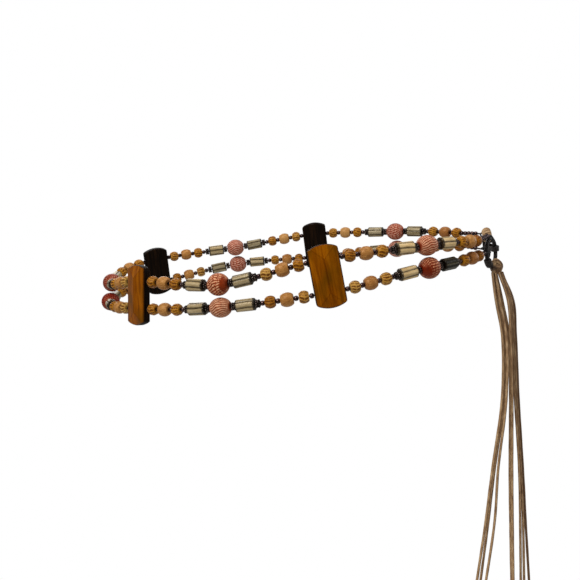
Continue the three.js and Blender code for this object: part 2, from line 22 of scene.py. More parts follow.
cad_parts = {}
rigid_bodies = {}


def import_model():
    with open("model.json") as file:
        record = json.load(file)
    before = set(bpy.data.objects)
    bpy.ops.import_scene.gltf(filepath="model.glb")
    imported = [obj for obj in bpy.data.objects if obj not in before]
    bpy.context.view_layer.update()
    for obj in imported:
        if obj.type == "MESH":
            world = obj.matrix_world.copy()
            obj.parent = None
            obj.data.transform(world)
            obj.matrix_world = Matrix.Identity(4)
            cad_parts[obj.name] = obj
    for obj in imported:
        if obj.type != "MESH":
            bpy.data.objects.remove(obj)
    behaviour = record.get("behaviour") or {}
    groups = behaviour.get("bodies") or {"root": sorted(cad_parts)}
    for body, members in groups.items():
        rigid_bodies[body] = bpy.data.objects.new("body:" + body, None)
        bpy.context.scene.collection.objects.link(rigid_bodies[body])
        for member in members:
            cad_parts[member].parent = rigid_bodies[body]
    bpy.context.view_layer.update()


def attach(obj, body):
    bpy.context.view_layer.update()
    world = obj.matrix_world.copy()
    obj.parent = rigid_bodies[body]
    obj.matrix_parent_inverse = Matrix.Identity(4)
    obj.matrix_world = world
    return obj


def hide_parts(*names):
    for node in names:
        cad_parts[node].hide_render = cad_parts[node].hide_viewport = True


MM = 0.001
# Steps between two given points of a curve, before it is read evenly
CURVE_STEPS = 40
# How far apart the patterns of the palest and the deepest bead lie, in millimetres
PATTERN_SHIFT = (37.0, 91.0, 53.0)
# A number or a point, which the same curve runs through
Spot = float | np.ndarray
LOG = logging.getLogger("belt")
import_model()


# Sizes and layout


@dataclass(frozen=True)
class BeltSizes:
    """Sizes of the belt in millimetres, the same as the CAD source's."""

    seed: float = 3.3
    spacer: float = 3.5
    grooved: float = 7.7
    smooth: float = 9.7
    tube: float = 15.0
    turned: float = 16.5
    bead_gap: float = 0.18
    grooved_diameter: float = 10.0
    grooved_face: float = 7.4
    smooth_diameter: float = 11.0
    smooth_face: float = 8.0
    tube_diameter: float = 10.0
    turned_face: float = 6.5
    bore: float = 1.2
    thread: float = 1.5
    bar_width: float = 23.3
    bar_edge: float = 6.5
    bar_ridge: float = 8.8
    bar_hip: float = 11.0
    bar_rise: float = 3.0
    ring_diameter: float = 28.0
    ring_wire: float = 4.0
    ring_spacing: float = 30.5
    ring_standoff: float = 5.0
    ring_turn: float = math.radians(15)
    eye_clearance: float = 0.4
    strand_clearance: float = 0.5
    front_share: float = 0.773
    back_share: float = 0.452
    flare: float = math.radians(6.5)
    first_end: float = 204.5
    cord: float = 2.4

    @property
    def pattern(self) -> list[str]:
        """Beads from a bar to a turned bead, in order."""
        return ["seed", "grooved", "seed", "smooth", "seed", "grooved", "seed", "spacer", "tube", "spacer"]

    @property
    def pattern_length(self) -> float:
        """Length of those beads without their gaps."""
        return sum(getattr(self, kind) for kind in self.pattern)

    @property
    def half_repeat(self) -> float:
        """Length along the belt from a bar's middle to a turned bead's middle."""
        gaps = (len(self.pattern) + 2) * self.bead_gap
        return self.bar_width / 2 + self.pattern_length + self.turned / 2 + gaps


class Strand(Enum):
    """The belt's two strands, with the side of its middle that each is on."""

    UPPER = 1
    LOWER = -1

    @property
    def word(self) -> str:
        """Name of the strand in piece and node names."""
        return self.name.lower()


class Carving(Enum):
    """How a turned bead's surface was cut."""

    DASHES = "short cuts in rows"
    LINES = "long wavy cuts"
    SPOTS = "small pecked marks"


@dataclass(frozen=True)
class TurnedBead:
    """One turned bead: its diameter, its cuts and its stain.

    One with a smooth size has a worn place without cuts, given by where it is along the bead and how
    long, both in units of 8 mm, and how far below the bead's front, in radians.
    """

    diameter: float
    carving: Carving
    stain: str
    cut: str
    smooth_at: float = 0.0
    smooth_size: float = 0.0
    smooth_drop: float = 0.2


TURNED_BEADS = {
    Strand.UPPER: [
        TurnedBead(16.0, Carving.LINES, "8c3418", "f0b48c"),
        TurnedBead(17.5, Carving.DASHES, "8a300e", "f2b68a", 0.8, 0.3, -0.1),
        TurnedBead(16.5, Carving.SPOTS, "7e2814", "d89c80"),
        TurnedBead(16.5, Carving.LINES, "98402a", "e2b098"),
        TurnedBead(16.5, Carving.DASHES, "93351f", "deaa90"),
    ],
    Strand.LOWER: [
        TurnedBead(17.0, Carving.DASHES, "741f06", "d8946a", -1.05, 0.78),
        TurnedBead(15.5, Carving.LINES, "90401e", "f2bc94"),
        TurnedBead(16.5, Carving.SPOTS, "7a1608", "b86a50"),
        TurnedBead(16.5, Carving.DASHES, "97402a", "e0ac94"),
        TurnedBead(16.5, Carving.LINES, "9c4a34", "e6b8a0"),
    ],
}
# Length of each bar, and how far apart its two bores are
BARS = [(48.0, 25.0), (49.5, 22.6), (48.0, 24.0), (48.0, 24.0)]
# Height of each ring, and the angle in degrees up from its side where each strand's eye is
RINGS = [
    {"node": "first_ring", "height": 10.5, "eyes": {Strand.UPPER: 78, Strand.LOWER: 4}},
    {"node": "second_ring", "height": 14.0, "eyes": {Strand.UPPER: 40, Strand.LOWER: -25}},
]
# Length from a ring's edge to the first gap of each strand
END_LEADS = {Strand.UPPER: 11.0, Strand.LOWER: 8.5}
# The forged wire's girth as a share of the solid's, and its thickest place as a share of its girth
RING_WIRE_SHARE = 0.86
RING_DENT_LIMIT = 1.035
# Height of the belt's middle at each station, from the first ring round to the second
MIDDLE_HEIGHTS = [16.8, 15.4, 3.6, -13.6, -20.1, -30.6, -21.0, -8.0, 3.0, 11.0, 16.0]

# Middle of each free end of the tie, from the knot down, as in the CAD source
CORD_ROUTES = [
    [
        (175.3, -24.6, -6.55), (179.0, -26.9, -30), (185.7, -28.6, -62), (187.7, -32.6, -117),
        (181.7, -38.2, -181), (177.5, -42.3, -230), (170.2, -48.3, -299),
    ],
    [
        (175.9, -21.9, -6.55), (181.5, -23.3, -31), (188.5, -24.4, -63), (190.4, -27.6, -118),
        (184.6, -32.4, -183), (180.9, -35.8, -233), (174.8, -40.7, -304),
    ],
    [
        (178.0, -24.6, -6.55), (182.5, -26.9, -30), (189.4, -28.5, -62), (191.4, -32.5, -117),
        (186.7, -38.0, -181), (185.4, -41.8, -229), (178.2, -47.7, -299),
    ],
    [
        (178.6, -21.9, -6.55), (185.1, -21.8, -31), (192.6, -21.3, -63), (196.7, -21.6, -120),
        (199.8, -22.1, -187), (203.0, -22.4, -239), (208.1, -22.6, -313),
    ],
    [
        (180.7, -24.6, -6.55), (189.3, -25.8, -30), (193.4, -26.1, -62), (197.4, -26.9, -118),
        (200.6, -28.1, -184), (203.6, -28.8, -235), (208.2, -29.9, -308),
    ],
    [
        (181.3, -21.9, -6.55), (191.5, -21.9, -31), (195.7, -21.4, -63), (201.1, -20.7, -120),
        (208.6, -19.8, -188), (212.4, -19.3, -240), (217.2, -18.7, -315),
    ],
    [
        (183.9, -21.3, -6.55), (193.6, -19.0, -32), (197.8, -18.5, -64), (203.2, -17.8, -121),
        (210.8, -16.9, -189), (215.6, -16.3, -241), (221.0, -15.6, -316),
    ],
    [
        (183.0, -18.6, -6.55), (195.5, -16.2, -32), (199.7, -15.6, -65), (205.2, -15.0, -122),
        (213.0, -14.0, -190), (218.5, -13.3, -242), (226.9, -12.3, -318),
    ],
]


def unit(vector: np.ndarray) -> np.ndarray:
    """The vector at length one."""
    return vector / np.linalg.norm(vector)


def smoothstep(value: np.ndarray, low: float, high: float) -> np.ndarray:
    """Ramp from 0 at low to 1 at high with level ends."""
    share = np.clip((np.asarray(value, dtype=float) - low) / (high - low), 0, 1)
    return share * share * (3 - 2 * share)


def full_turn(count: int) -> np.ndarray:
    """Angles once round, in even steps from 0."""
    return np.linspace(0, math.tau, count, endpoint=False)


def run_lengths(points: np.ndarray) -> np.ndarray:
    """Length along a polyline up to each of its points."""
    return np.concatenate([[0], np.cumsum(np.linalg.norm(np.diff(points, axis=0), axis=1))])


def hermite(p1: Spot, p2: Spot, m1: Spot, m2: Spot, t: float) -> Spot:
    """Cubic from p1 to p2 with slopes m1 and m2 at its ends, read at t from 0 to 1."""
    cubic = (2 * p1 - 2 * p2 + m1 + m2) * t**3 + (-3 * p1 + 3 * p2 - 2 * m1 - m2) * t**2
    return cubic + m1 * t + p1


def catmull_rom(points: np.ndarray, count: int) -> np.ndarray:
    """Centripetal curve through points, read at even steps of its own length.

    Args:
        points: The points that it passes, in order.
        count: How many points to return.

    Returns:
        The curve's points, the first and last being the given ones.
    """
    ends = [2 * points[0] - points[1], *points, 2 * points[-1] - points[-2]]
    fine = []
    for index in range(1, len(ends) - 2):
        p0, p1, p2, p3 = ends[index - 1 : index + 3]
        t0, t1, t2 = (max(np.linalg.norm(b - a), 1e-9) ** 0.5 for a, b in ((p0, p1), (p1, p2), (p2, p3)))
        m1 = ((p1 - p0) / t0 - (p2 - p0) / (t0 + t1) + (p2 - p1) / t1) * t1
        m2 = ((p2 - p1) / t1 - (p3 - p1) / (t1 + t2) + (p3 - p2) / t2) * t1
        for t in np.linspace(0, 1, CURVE_STEPS, endpoint=False):
            fine.append(hermite(p1, p2, m1, m2, t))
    return even_steps(np.array([*fine, points[-1]]), count)


def even_steps(points: np.ndarray, count: int) -> np.ndarray:
    """A polyline's points, moved along it to even steps of its length.

    Args:
        points: The polyline's points.
        count: How many points to return.

    Returns:
        The points, at even steps.
    """
    run = run_lengths(points)
    wanted = np.linspace(0, run[-1], count)
    return np.stack([np.interp(wanted, run, points[:, axis]) for axis in range(3)], axis=1)


@dataclass
class Place:
    """A spot on the belt: its middle, right along the belt, inward and up."""

    kind: str
    centre: np.ndarray
    right: np.ndarray

    @property
    def axes(self) -> np.ndarray:
        """Right, inward and up as the rows of a matrix.

        Returns:
            The three directions.
        """
        up = np.array([0.0, 0.0, 1.0])
        up = unit(up - self.right * self.right[2])
        return np.array([self.right, np.cross(up, self.right), up])


class BeltLayout:
    """Where every bead, bar and ring sits on the hips, by the CAD source's own rules."""

    STEPS = 200

    def __init__(self, sizes: BeltSizes) -> None:
        """Fits the hip line to the belt's length.

        Args:
            sizes: The belt's sizes.
        """
        self.sizes = sizes
        self.stations = len(MIDDLE_HEIGHTS)
        belt = (self.stations - 1) * sizes.half_repeat + sizes.ring_diameter + sizes.ring_spacing
        self.half_width = 1.0
        self._measure()
        self.half_width = belt / self.loop_length
        self._measure()

    def _measure(self) -> None:
        """Reads the lengths along both halves of the hip line."""
        self.runs = []
        for start, share in ((math.pi, self.sizes.front_share), (0.0, self.sizes.back_share)):
            angles = start + math.pi * np.linspace(0, 1, self.STEPS + 1)
            line = self.half_width * np.stack([np.cos(angles), share * np.sin(angles)], axis=1)
            self.runs.append(run_lengths(line))
        self.loop_length = self.runs[0][-1] + self.runs[1][-1]

    def _loop_point(self, share: float) -> np.ndarray:
        """Point of the hip line at a share of its length.

        Args:
            share: Share of the length, from the left side round the front.

        Returns:
            The point, seen from above.
        """
        distance = share * self.loop_length
        front = distance <= self.runs[0][-1]
        run = self.runs[0] if front else self.runs[1]
        if not front:
            distance -= self.runs[0][-1]
        angle = math.pi * np.interp(distance, run, np.linspace(0, 1, self.STEPS + 1))
        angle += math.pi if front else 0.0
        depth = self.sizes.front_share if front else self.sizes.back_share
        return self.half_width * np.array([math.cos(angle), depth * math.sin(angle)])

    def hip_place(self, arc: float, height: float) -> tuple[np.ndarray, np.ndarray, np.ndarray]:
        """Point on the hips.

        Args:
            arc: Length along the hips from the front centre to the right.
            height: Height of the point.

        Returns:
            The point, the direction along the hips and the direction outward.
        """
        share = ((arc + self.runs[0][-1] / 2) / self.loop_length) % 1
        x, y = self._loop_point(share)
        step = self._loop_point(min(share + 1e-4, 1)) - self._loop_point(max(share - 1e-4, 0))
        tx, ty = step / np.linalg.norm(step)
        return np.array([x, y, height]), np.array([tx, ty, 0.0]), np.array([ty, -tx, 0.0])

    def station_arc(self, station: float) -> float:
        """Arc of a station, counted from the first ring's edge."""
        return self.sizes.first_end - station * self.sizes.half_repeat

    def middle_height(self, station: float) -> float:
        """Height of the belt's middle line at a station.

        Args:
            station: The station, whole or between two.

        Returns:
            The height.
        """
        last = self.stations - 1
        at = min(int(math.floor(station)), last)
        t = station - at
        p0, p1, p2, p3 = (MIDDLE_HEIGHTS[min(max(at + k, 0), last)] for k in (-1, 0, 1, 2))
        m1, m2 = (p2 - p0) / 2, (p3 - p1) / 2
        return hermite(p1, p2, m1, m2, t)

    def station_half_gap(self, station: int) -> float:
        """Half the distance between the strands at a whole station.

        Args:
            station: The station.

        Returns:
            The half distance.
        """
        if station in (0, self.stations - 1):
            return self.sizes.smooth_diameter / 2 + self.sizes.strand_clearance
        if station % 2 == 0:
            return BARS[station // 2 - 1][1] / 2
        pair = (station - 1) // 2
        across = sum(TURNED_BEADS[strand][pair].diameter for strand in Strand)
        return across / 4 + self.sizes.strand_clearance

    def strand_point(self, station: float, strand: Strand) -> np.ndarray:
        """Point on a strand's middle line.

        Args:
            station: The station, whole or between two.
            strand: The strand.

        Returns:
            The point.
        """
        last = self.stations - 1
        places = []
        for at in (min(station + 0.02, last), max(station - 0.02, 0)):
            places.append(self.hip_place(self.station_arc(at), self.middle_height(at))[0])
        along = unit(places[1] - places[0])
        centre, _, outward = self.hip_place(self.station_arc(station), self.middle_height(station))
        up = -outward * math.sin(self.sizes.flare)
        up[2] = math.cos(self.sizes.flare)
        up = unit(up - along * (up @ along))
        before = min(int(math.floor(station)), self.stations - 2)
        blend = float(smoothstep(station - before, 0, 1))
        low, high = self.station_half_gap(before), self.station_half_gap(before + 1)
        return centre + up * strand.value * (low + (high - low) * blend)

    def half_run(self, even: int, odd: int, strand: Strand, lead: float) -> list[tuple[str, np.ndarray]]:
        """Beads of one strand from a bar or ring to the next turned bead.

        Args:
            even: Station of the bar or ring.
            odd: Station of the turned bead.
            strand: The strand.
            lead: Length from the even station to the first gap.

        Returns:
            Each bead's kind and middle, and last the thread's bend at the turned bead.
        """
        sizes = self.sizes
        line = np.array([self.strand_point(s, strand) for s in np.linspace(even, odd, 61)])
        run = run_lengths(line)
        gaps = len(sizes.pattern) + 2
        gap = (run[-1] - lead - sizes.pattern_length - sizes.turned / 2) / gaps

        def point_at(distance: float) -> np.ndarray:
            """Point of the strand's line at a length along it."""
            return np.array([np.interp(distance, run, line[:, axis]) for axis in range(3)])

        marks, distance = [], lead + gap
        for kind in sizes.pattern:
            marks.append((kind, distance + getattr(sizes, kind) / 2))
            distance += getattr(sizes, kind) + gap
        bends = [middle for kind, middle in marks if kind == "seed"] + [distance - gap / 2]
        items = []
        for kind, middle in marks:
            after = next((i for i, bend in enumerate(bends) if bend > middle), len(bends) - 1)
            start, end = bends[after - 1], bends[after]
            share = (middle - start) / (end - start)
            items.append((kind, point_at(start) * (1 - share) + point_at(end) * share))
        return [*items, ("bend", point_at(distance - gap / 2))]

    def strand_run(self, strand: Strand) -> list[Place]:
        """One whole strand in order, from the first ring round to the second.

        Args:
            strand: The strand.

        Returns:
            The place of each bead, bar and bend.
        """
        last = self.stations - 1
        run: list[tuple[str, np.ndarray]] = []
        for station in range(0, last, 2):
            lead = END_LEADS[strand] if station == 0 else self.sizes.bar_width / 2
            back_lead = END_LEADS[strand] if station + 2 == last else self.sizes.bar_width / 2
            before = self.half_run(station, station + 1, strand, lead)
            after = self.half_run(station + 2, station + 1, strand, back_lead)[::-1]
            if station > 0:
                run.append(("bar", (run[-1][1] + before[0][1]) / 2))
            run += [*before, ("turned", (before[-1][1] + after[0][1]) / 2), *after]
        places = []
        for index, (kind, centre) in enumerate(run):
            ends = run[max(index - 1, 0)][1], run[min(index + 1, len(run) - 1)][1]
            places.append(Place(kind, centre, unit(ends[0] - ends[1])))
        return places

    def places(self, strand: Strand, kind: str) -> list[Place]:
        """A strand's places of one kind, from the first ring round to the second."""
        return [place for place in self.strand_run(strand) if place.kind == kind]

    def ring_frame(self, index: int) -> dict[str, np.ndarray | float]:
        """Middle and directions of one ring as it lies on the hips.

        Args:
            index: Which ring.

        Returns:
            The middle, the directions, and the side that the strands are on.
        """
        sizes = self.sizes
        edge = self.station_arc(0 if index == 0 else self.stations - 1)
        inward = 1 if index == 0 else -1
        arc = edge + inward * sizes.ring_diameter / 2
        centre, along, outward = self.hip_place(arc, RINGS[index]["height"])
        right = along * math.cos(sizes.ring_turn) + outward * math.sin(sizes.ring_turn)
        level = np.array([right[1], -right[0], 0.0])
        up = -level * math.sin(sizes.flare)
        up[2] = math.cos(sizes.flare)
        centre = centre + outward * sizes.ring_standoff
        normal = np.cross(right, up)
        return {"centre": centre, "right": right, "up": up, "normal": normal, "to_strands": -inward}

    def ring_wire(self, frame: dict, sideways: float, angle: float) -> tuple[np.ndarray, np.ndarray]:
        """Middle of a ring's wire, and the wire's direction, at an angle up from one side.

        Args:
            frame: The ring's frame.
            sideways: 1 or -1, for the side it counts from.
            angle: The angle.

        Returns:
            The middle and the direction.
        """
        radius = (self.sizes.ring_diameter - self.sizes.ring_wire) / 2
        side = frame["right"] * sideways
        spoke = side * math.cos(angle) + frame["up"] * math.sin(angle)
        along = -side * math.sin(angle) + frame["up"] * math.cos(angle)
        return frame["centre"] + spoke * radius, along

    def wire_toward(self, frame: dict, target: np.ndarray) -> np.ndarray:
        """Middle of a ring's wire where it is nearest to a point.

        Args:
            frame: The ring's frame.
            target: The point.

        Returns:
            The middle of the wire.
        """
        offset = target - frame["centre"]
        sideways = -frame["to_strands"]
        angle = math.atan2(offset @ frame["up"], sideways * (offset @ frame["right"]))
        return self.ring_wire(frame, sideways, angle)[0]


# Meshes


@dataclass
class Shell:
    """A closed surface in millimetres, with the values that its material reads."""

    points: np.ndarray
    faces: list[tuple[int, ...]]
    values: dict[str, np.ndarray] = field(default_factory=dict)

    def moved(self, axes: np.ndarray, centre: np.ndarray) -> "Shell":
        """The surface turned to the axes given as rows, and moved to a middle."""
        return Shell(self.points @ axes + centre, self.faces, self.values)

    @staticmethod
    def joined(shells: list["Shell"]) -> "Shell":
        """Several surfaces as one.

        Args:
            shells: The surfaces, which hold the same values.

        Returns:
            The one surface.
        """
        faces, start = [], 0
        for shell in shells:
            faces += [tuple(corner + start for corner in face) for face in shell.faces]
            start += len(shell.points)
        values = {
            name: np.concatenate([shell.values[name] for shell in shells]) for name in shells[0].values
        }
        return Shell(np.concatenate([shell.points for shell in shells]), faces, values)


def grid_faces(rows: int, columns: int, close_rows: bool, close_columns: bool) -> list[tuple[int, ...]]:
    """Four-sided faces between the points of a grid.

    Args:
        rows: Count of rows.
        columns: Count of points in a row.
        close_rows: Whether the last row joins the first.
        close_columns: Whether each row closes on itself.

    Returns:
        The faces, as the indices of their corners.
    """
    faces = []
    for row in range(rows if close_rows else rows - 1):
        for column in range(columns if close_columns else columns - 1):
            a, b = row * columns, ((row + 1) % rows) * columns
            c = (column + 1) % columns
            faces.append((a + column, a + c, b + c, b + column))
    return faces


def lathe(profile: np.ndarray, sides: int) -> Shell:
    """Solid turned about X from a closed profile of (x, radius), angle 0 facing -Y and 90 up.

    Args:
        profile: The points in order, closed on themselves.
        sides: Points round it.

    Returns:
        The solid, with the angle of each point.
    """
    angles = full_turn(sides)
    x = np.repeat(profile[:, 0], sides)
    radius = np.repeat(profile[:, 1], sides)
    turn = np.tile(angles, len(profile))
    points = np.stack([x, -radius * np.cos(turn), radius * np.sin(turn)], axis=1)
    return Shell(points, grid_faces(len(profile), sides, True, True), {"angle": turn})


def sweep(path: np.ndarray, radius: np.ndarray | float, sides: int, closed: bool = False) -> Shell:
    """Round tube along a path, with its length and its way round kept for the material.

    Args:
        path: The tube's middle line.
        radius: Its radius, one for all points or one each.
        sides: Points round it.
        closed: Whether the path closes on itself.

    Returns:
        The tube, with rounded ends unless it is closed.
    """
    count = len(path)
    radii = np.broadcast_to(np.asarray(radius, dtype=float), (count,)).copy()
    if not closed:
        first, last = unit(path[0] - path[1]), unit(path[-1] - path[-2])
        # Each end is rounded over a part of the radius, down to a smaller flat
        rounded, flat = 0.3, 0.7
        path = np.concatenate([
            [path[0]], path[:1] - first * radii[0] * rounded, path[1:-1],
            path[-1:] - last * radii[-1] * rounded, [path[-1]],
        ])
        radii = np.concatenate([[radii[0] * flat], radii, [radii[-1] * flat]])
        count = len(path)
    after = np.roll(path, -1, axis=0) if closed else np.concatenate([path[1:], path[-1:]])
    before = np.roll(path, 1, axis=0) if closed else np.concatenate([path[:1], path[:-1]])
    tangents = (after - before) / np.linalg.norm(after - before, axis=1)[:, None]
    helper = np.array([0.0, 0.0, 1.0]) if abs(tangents[0][2]) < 0.9 else np.array([0.0, 1.0, 0.0])
    normal = unit(np.cross(tangents[0], helper))
    normals = []
    for tangent in tangents:
        normal = unit(normal - tangent * (normal @ tangent))
        normals.append(normal)
    twist = 0.0
    if closed:
        back = unit(normals[-1] - tangents[0] * (normals[-1] @ tangents[0]))
        side = np.cross(tangents[0], normals[0])
        twist = math.atan2(back @ side, back @ normals[0])
    points, angles = [], full_turn(sides)
    for index in range(count):
        across = np.cross(tangents[index], normals[index])
        turn = angles - twist * index / count
        ring = np.outer(np.cos(turn), normals[index]) + np.outer(np.sin(turn), across)
        points.append(path[index] + radii[index] * ring)
    run = run_lengths(path)
    faces = grid_faces(count, sides, closed, True)
    points = np.concatenate(points)
    lengths, ways = np.repeat(run, sides), np.tile(angles, count)
    if not closed:
        faces += [tuple(range(sides))[::-1], tuple(range((count - 1) * sides, count * sides))]
    girth = math.tau * float(np.mean(radii))
    lace = np.stack([lengths, girth * np.cos(ways) / 6.3, girth * np.sin(ways) / 6.3], axis=1)
    return Shell(points, faces, {"grain": lace})


def signed_volume(mesh: Mesh) -> float:
    """Volume inside a mesh, below zero where its faces point inward.

    Args:
        mesh: The mesh.

    Returns:
        The volume in cubic metres.
    """
    mesh.calc_loop_triangles()
    points = np.empty(len(mesh.vertices) * 3)
    mesh.vertices.foreach_get("co", points)
    points = points.reshape(-1, 3)
    corners = np.empty(len(mesh.loop_triangles) * 3, dtype=np.int32)
    mesh.loop_triangles.foreach_get("vertices", corners)
    a, b, c = (points[corners.reshape(-1, 3)[:, k]] for k in range(3))
    return float(np.einsum("ij,ij->i", a, np.cross(b, c)).sum() / 6)


def write_values(mesh: Mesh, values: dict[str, np.ndarray]) -> None:
    """Stores numbers or vectors on a mesh's points, for its material or a tree to read.

    Args:
        mesh: The mesh.
        values: One number or vector for each point, by name.
    """
    for name, data in values.items():
        kind, slot = ("FLOAT_VECTOR", "vector") if data.ndim == 2 else ("FLOAT", "value")
        mesh.attributes.new(name, kind, "POINT").data.foreach_set(slot, data.astype(np.float32).ravel())


def new_mesh(name: str, shell: Shell, sharp: float = 40.0) -> Mesh:
    """A Blender mesh in metres with its faces outward, smooth but for its sharp edges.

    Args:
        name: The mesh's name.
        shell: The surface in millimetres.
        sharp: Angle in degrees past which an edge stays sharp.

    Returns:
        The mesh.
    """
    mesh = bpy.data.meshes.new(name)
    mesh.from_pydata((shell.points * MM).tolist(), [], shell.faces)
    if signed_volume(mesh) < 0:
        mesh.flip_normals()
    mesh.shade_smooth()
    mesh.set_sharp_from_angle(angle=math.radians(sharp))
    write_values(mesh, shell.values)
    return mesh


def new_object(name: str, mesh: Mesh) -> Object:
    """An object at the origin that shows the mesh.

    Args:
        name: Its name.
        mesh: The mesh.

    Returns:
        The object.
    """
    made = bpy.data.objects.new(name, mesh)
    bpy.context.scene.collection.objects.link(made)
    return made


def place_piece(
    name: str, shell: Shell, finish: Material, nodes: list[str],
    sharp: float = 40.0,
) -> Object:
    """Makes one finished piece that rides on the belt.

    Args:
        name: The piece's name.
        shell: Its surface, already in place.
        finish: Its material.
        nodes: The CAD nodes that it stands for.
        sharp: Angle in degrees past which an edge stays sharp.

    Returns:
        The piece.
    """
    piece = new_object(name, new_mesh(name, shell, sharp))
    piece.data.materials.append(finish)
    return register(piece, nodes)


def register(piece: Object, nodes: list[str]) -> Object:
    """Ties a piece to the belt's one body, and hides the CAD nodes that it stands for.

    Args:
        piece: The piece.
        nodes: The CAD nodes that it stands for.

    Returns:
        The piece.
    """
    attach(piece, "root")
    if nodes:
        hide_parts(*nodes)
    LOG.info("%s: %d faces", piece.name, len(piece.data.polygons))
    return piece


# Finishes


def linear(hex_colour: str) -> tuple[float, float, float, float]:
    """An sRGB hex colour as linear light.

    Args:
        hex_colour: Six hex digits.

    Returns:
        Red, green, blue and a full alpha.
    """
    parts = [int(hex_colour[k : k + 2], 16) / 255 for k in (0, 2, 4)]
    red, green, blue = (p / 12.92 if p <= 0.04045 else ((p + 0.055) / 1.055) ** 2.4 for p in parts)
    return red, green, blue, 1.0


def set_inputs(tree: NodeTree, node: Node, inputs: dict) -> None:
    """Gives a node's inputs their values and links.

    Args:
        tree: The node's tree.
        node: The node.
        inputs: What each input gets, by name or index: a value, an sRGB hex colour, another node's
            socket, or a node, whose first output in use is linked.
    """
    for key, value in inputs.items():
        if isinstance(value, Node):
            value = next(output for output in value.outputs if output.enabled)
        if isinstance(value, NodeSocket):
            tree.links.new(value, node.inputs[key])
        elif isinstance(value, str) and node.inputs[key].type == "RGBA":
            node.inputs[key].default_value = linear(value)
        else:
            node.inputs[key].default_value = value


def add_node(tree: NodeTree, kind: str, inputs: dict | None = None, **settings) -> Node:
    """Adds a node with its settings, values and links.

    Args:
        tree: The tree that gets the node.
        kind: Its type.
        inputs: What each input gets, as set_inputs takes it.
        settings: Its properties, and stops for a colour ramp as (place, hex colour) pairs.

    Returns:
        The node.
    """
    node = tree.nodes.new(kind)
    stops = list(settings.pop("stops", ()))
    for key, value in settings.items():
        setattr(node, key, value)
    set_inputs(tree, node, inputs or {})
    if stops:
        elements = node.color_ramp.elements
        while len(elements) < len(stops):
            elements.new(0.5)
        for element, (place, colour) in zip(elements, stops):
            element.position = place
            element.color = linear(colour)
    return node


@dataclass(frozen=True)
class Finish:
    """A real material as the belt's maker left it."""

    name: str
    roughness: float = 0.5
    metallic: float = 0.0
    ior: float = 1.5
    coat: float = 0.0
    coat_roughness: float = 0.1
    shine: str = "ffffff"

    def material(self) -> Material:
        """The finish as a Blender material.

        Returns:
            The material.
        """
        made = bpy.data.materials.new(self.name)
        made.use_nodes = True
        tree = made.node_tree
        shader = tree.nodes["Principled BSDF"]
        set_inputs(tree, shader, {
            "Roughness": self.roughness, "Metallic": self.metallic, "IOR": self.ior,
            "Coat Weight": self.coat, "Coat Roughness": self.coat_roughness, "Specular Tint": self.shine,
        })
        set_inputs(tree, shader, self.dress(tree))
        return made

    def dress(self, tree: NodeTree) -> dict:
        """Adds the nodes that give the surface its pattern, and returns what the shader's inputs get."""
        raise NotImplementedError

    def own_noise(self, tree: NodeTree, stretch: tuple[float, float, float], **shape: float) -> Node:
        """Noise over the piece's own grain in millimetres, squeezed by stretch and moved for each bead.

        Args:
            tree: The material's tree.
            stretch: Factor on each of the piece's own directions.
            shape: The noise's scale, detail, roughness and distortion, by their sockets' names.

        Returns:
            The noise.
        """
        add = partial(add_node, tree)
        grain = add("ShaderNodeAttribute", attribute_name="grain").outputs["Vector"]
        tone = add("ShaderNodeAttribute", attribute_name="tone").outputs["Fac"]
        apart = add("ShaderNodeVectorMath", {0: PATTERN_SHIFT, "Scale": tone}, operation="SCALE")
        moved = add("ShaderNodeVectorMath", {0: grain, 1: apart})
        place = add("ShaderNodeVectorMath", {0: moved, 1: stretch}, operation="MULTIPLY")
        return add("ShaderNodeTexNoise", {"Vector": place} | shape)


@dataclass(frozen=True)
class OiledWood(Finish):
    """Wood turned on a lathe and rubbed with oil: fine long fibres, dark where its grain lies open."""

    fibre: tuple[str, str, str] = ("90550e", "bc7e20", "d29a38")
    cut: str = "603008"
    pale: str = "d8b468"
    deep: str = "84420a"
    fibre_width: float = 0.55

    def dress(self, tree: NodeTree) -> dict:
        """Fibres along the bead, a tone for each bead and dark open grain.

        Args:
            tree: The material's tree.

        Returns:
            What the shader's inputs get.
        """
        add = partial(add_node, tree)
        # Fibres about half a millimetre wide and some millimetres long
        fibres = self.own_noise(
            tree, (0.16, 1.0, 1.0), Scale=1 / self.fibre_width, Detail=4.0, Roughness=0.6, Distortion=0.6
        )
        colour = add("ShaderNodeValToRGB", {"Fac": fibres}, stops=zip((0.3, 0.5, 0.72), self.fibre))
        # Soft patches a few millimetres across
        patch = self.own_noise(tree, (0.5, 1.0, 1.0), Scale=0.25, Detail=2.0)
        tone = add("ShaderNodeAttribute", attribute_name="tone").outputs["Fac"]
        groove = add("ShaderNodeAttribute", attribute_name="groove").outputs["Fac"]
        # What each layer follows, where it starts and is full, its greatest share and its colour
        layers = [
            (tone, 0.6, 1.0, 0.62, self.pale),
            (tone, 0.4, 0.0, 0.62, self.deep),
            (patch, 0.55, 0.8, 0.45, self.deep),
            (groove, 0.1, 0.8, 0.95, self.cut),
        ]
        for follows, start, full, most, over in layers:
            share = add("ShaderNodeMapRange", {
                "Value": follows, "From Min": start, "From Max": full, "To Max": most,
            })
            colour = add("ShaderNodeMix", {0: share, 6: colour, 7: over}, data_type="RGBA")
        bump = add("ShaderNodeBump", {"Strength": 0.35, "Distance": 0.00012, "Height": fibres})
        return {"Base Color": colour, "Normal": bump}


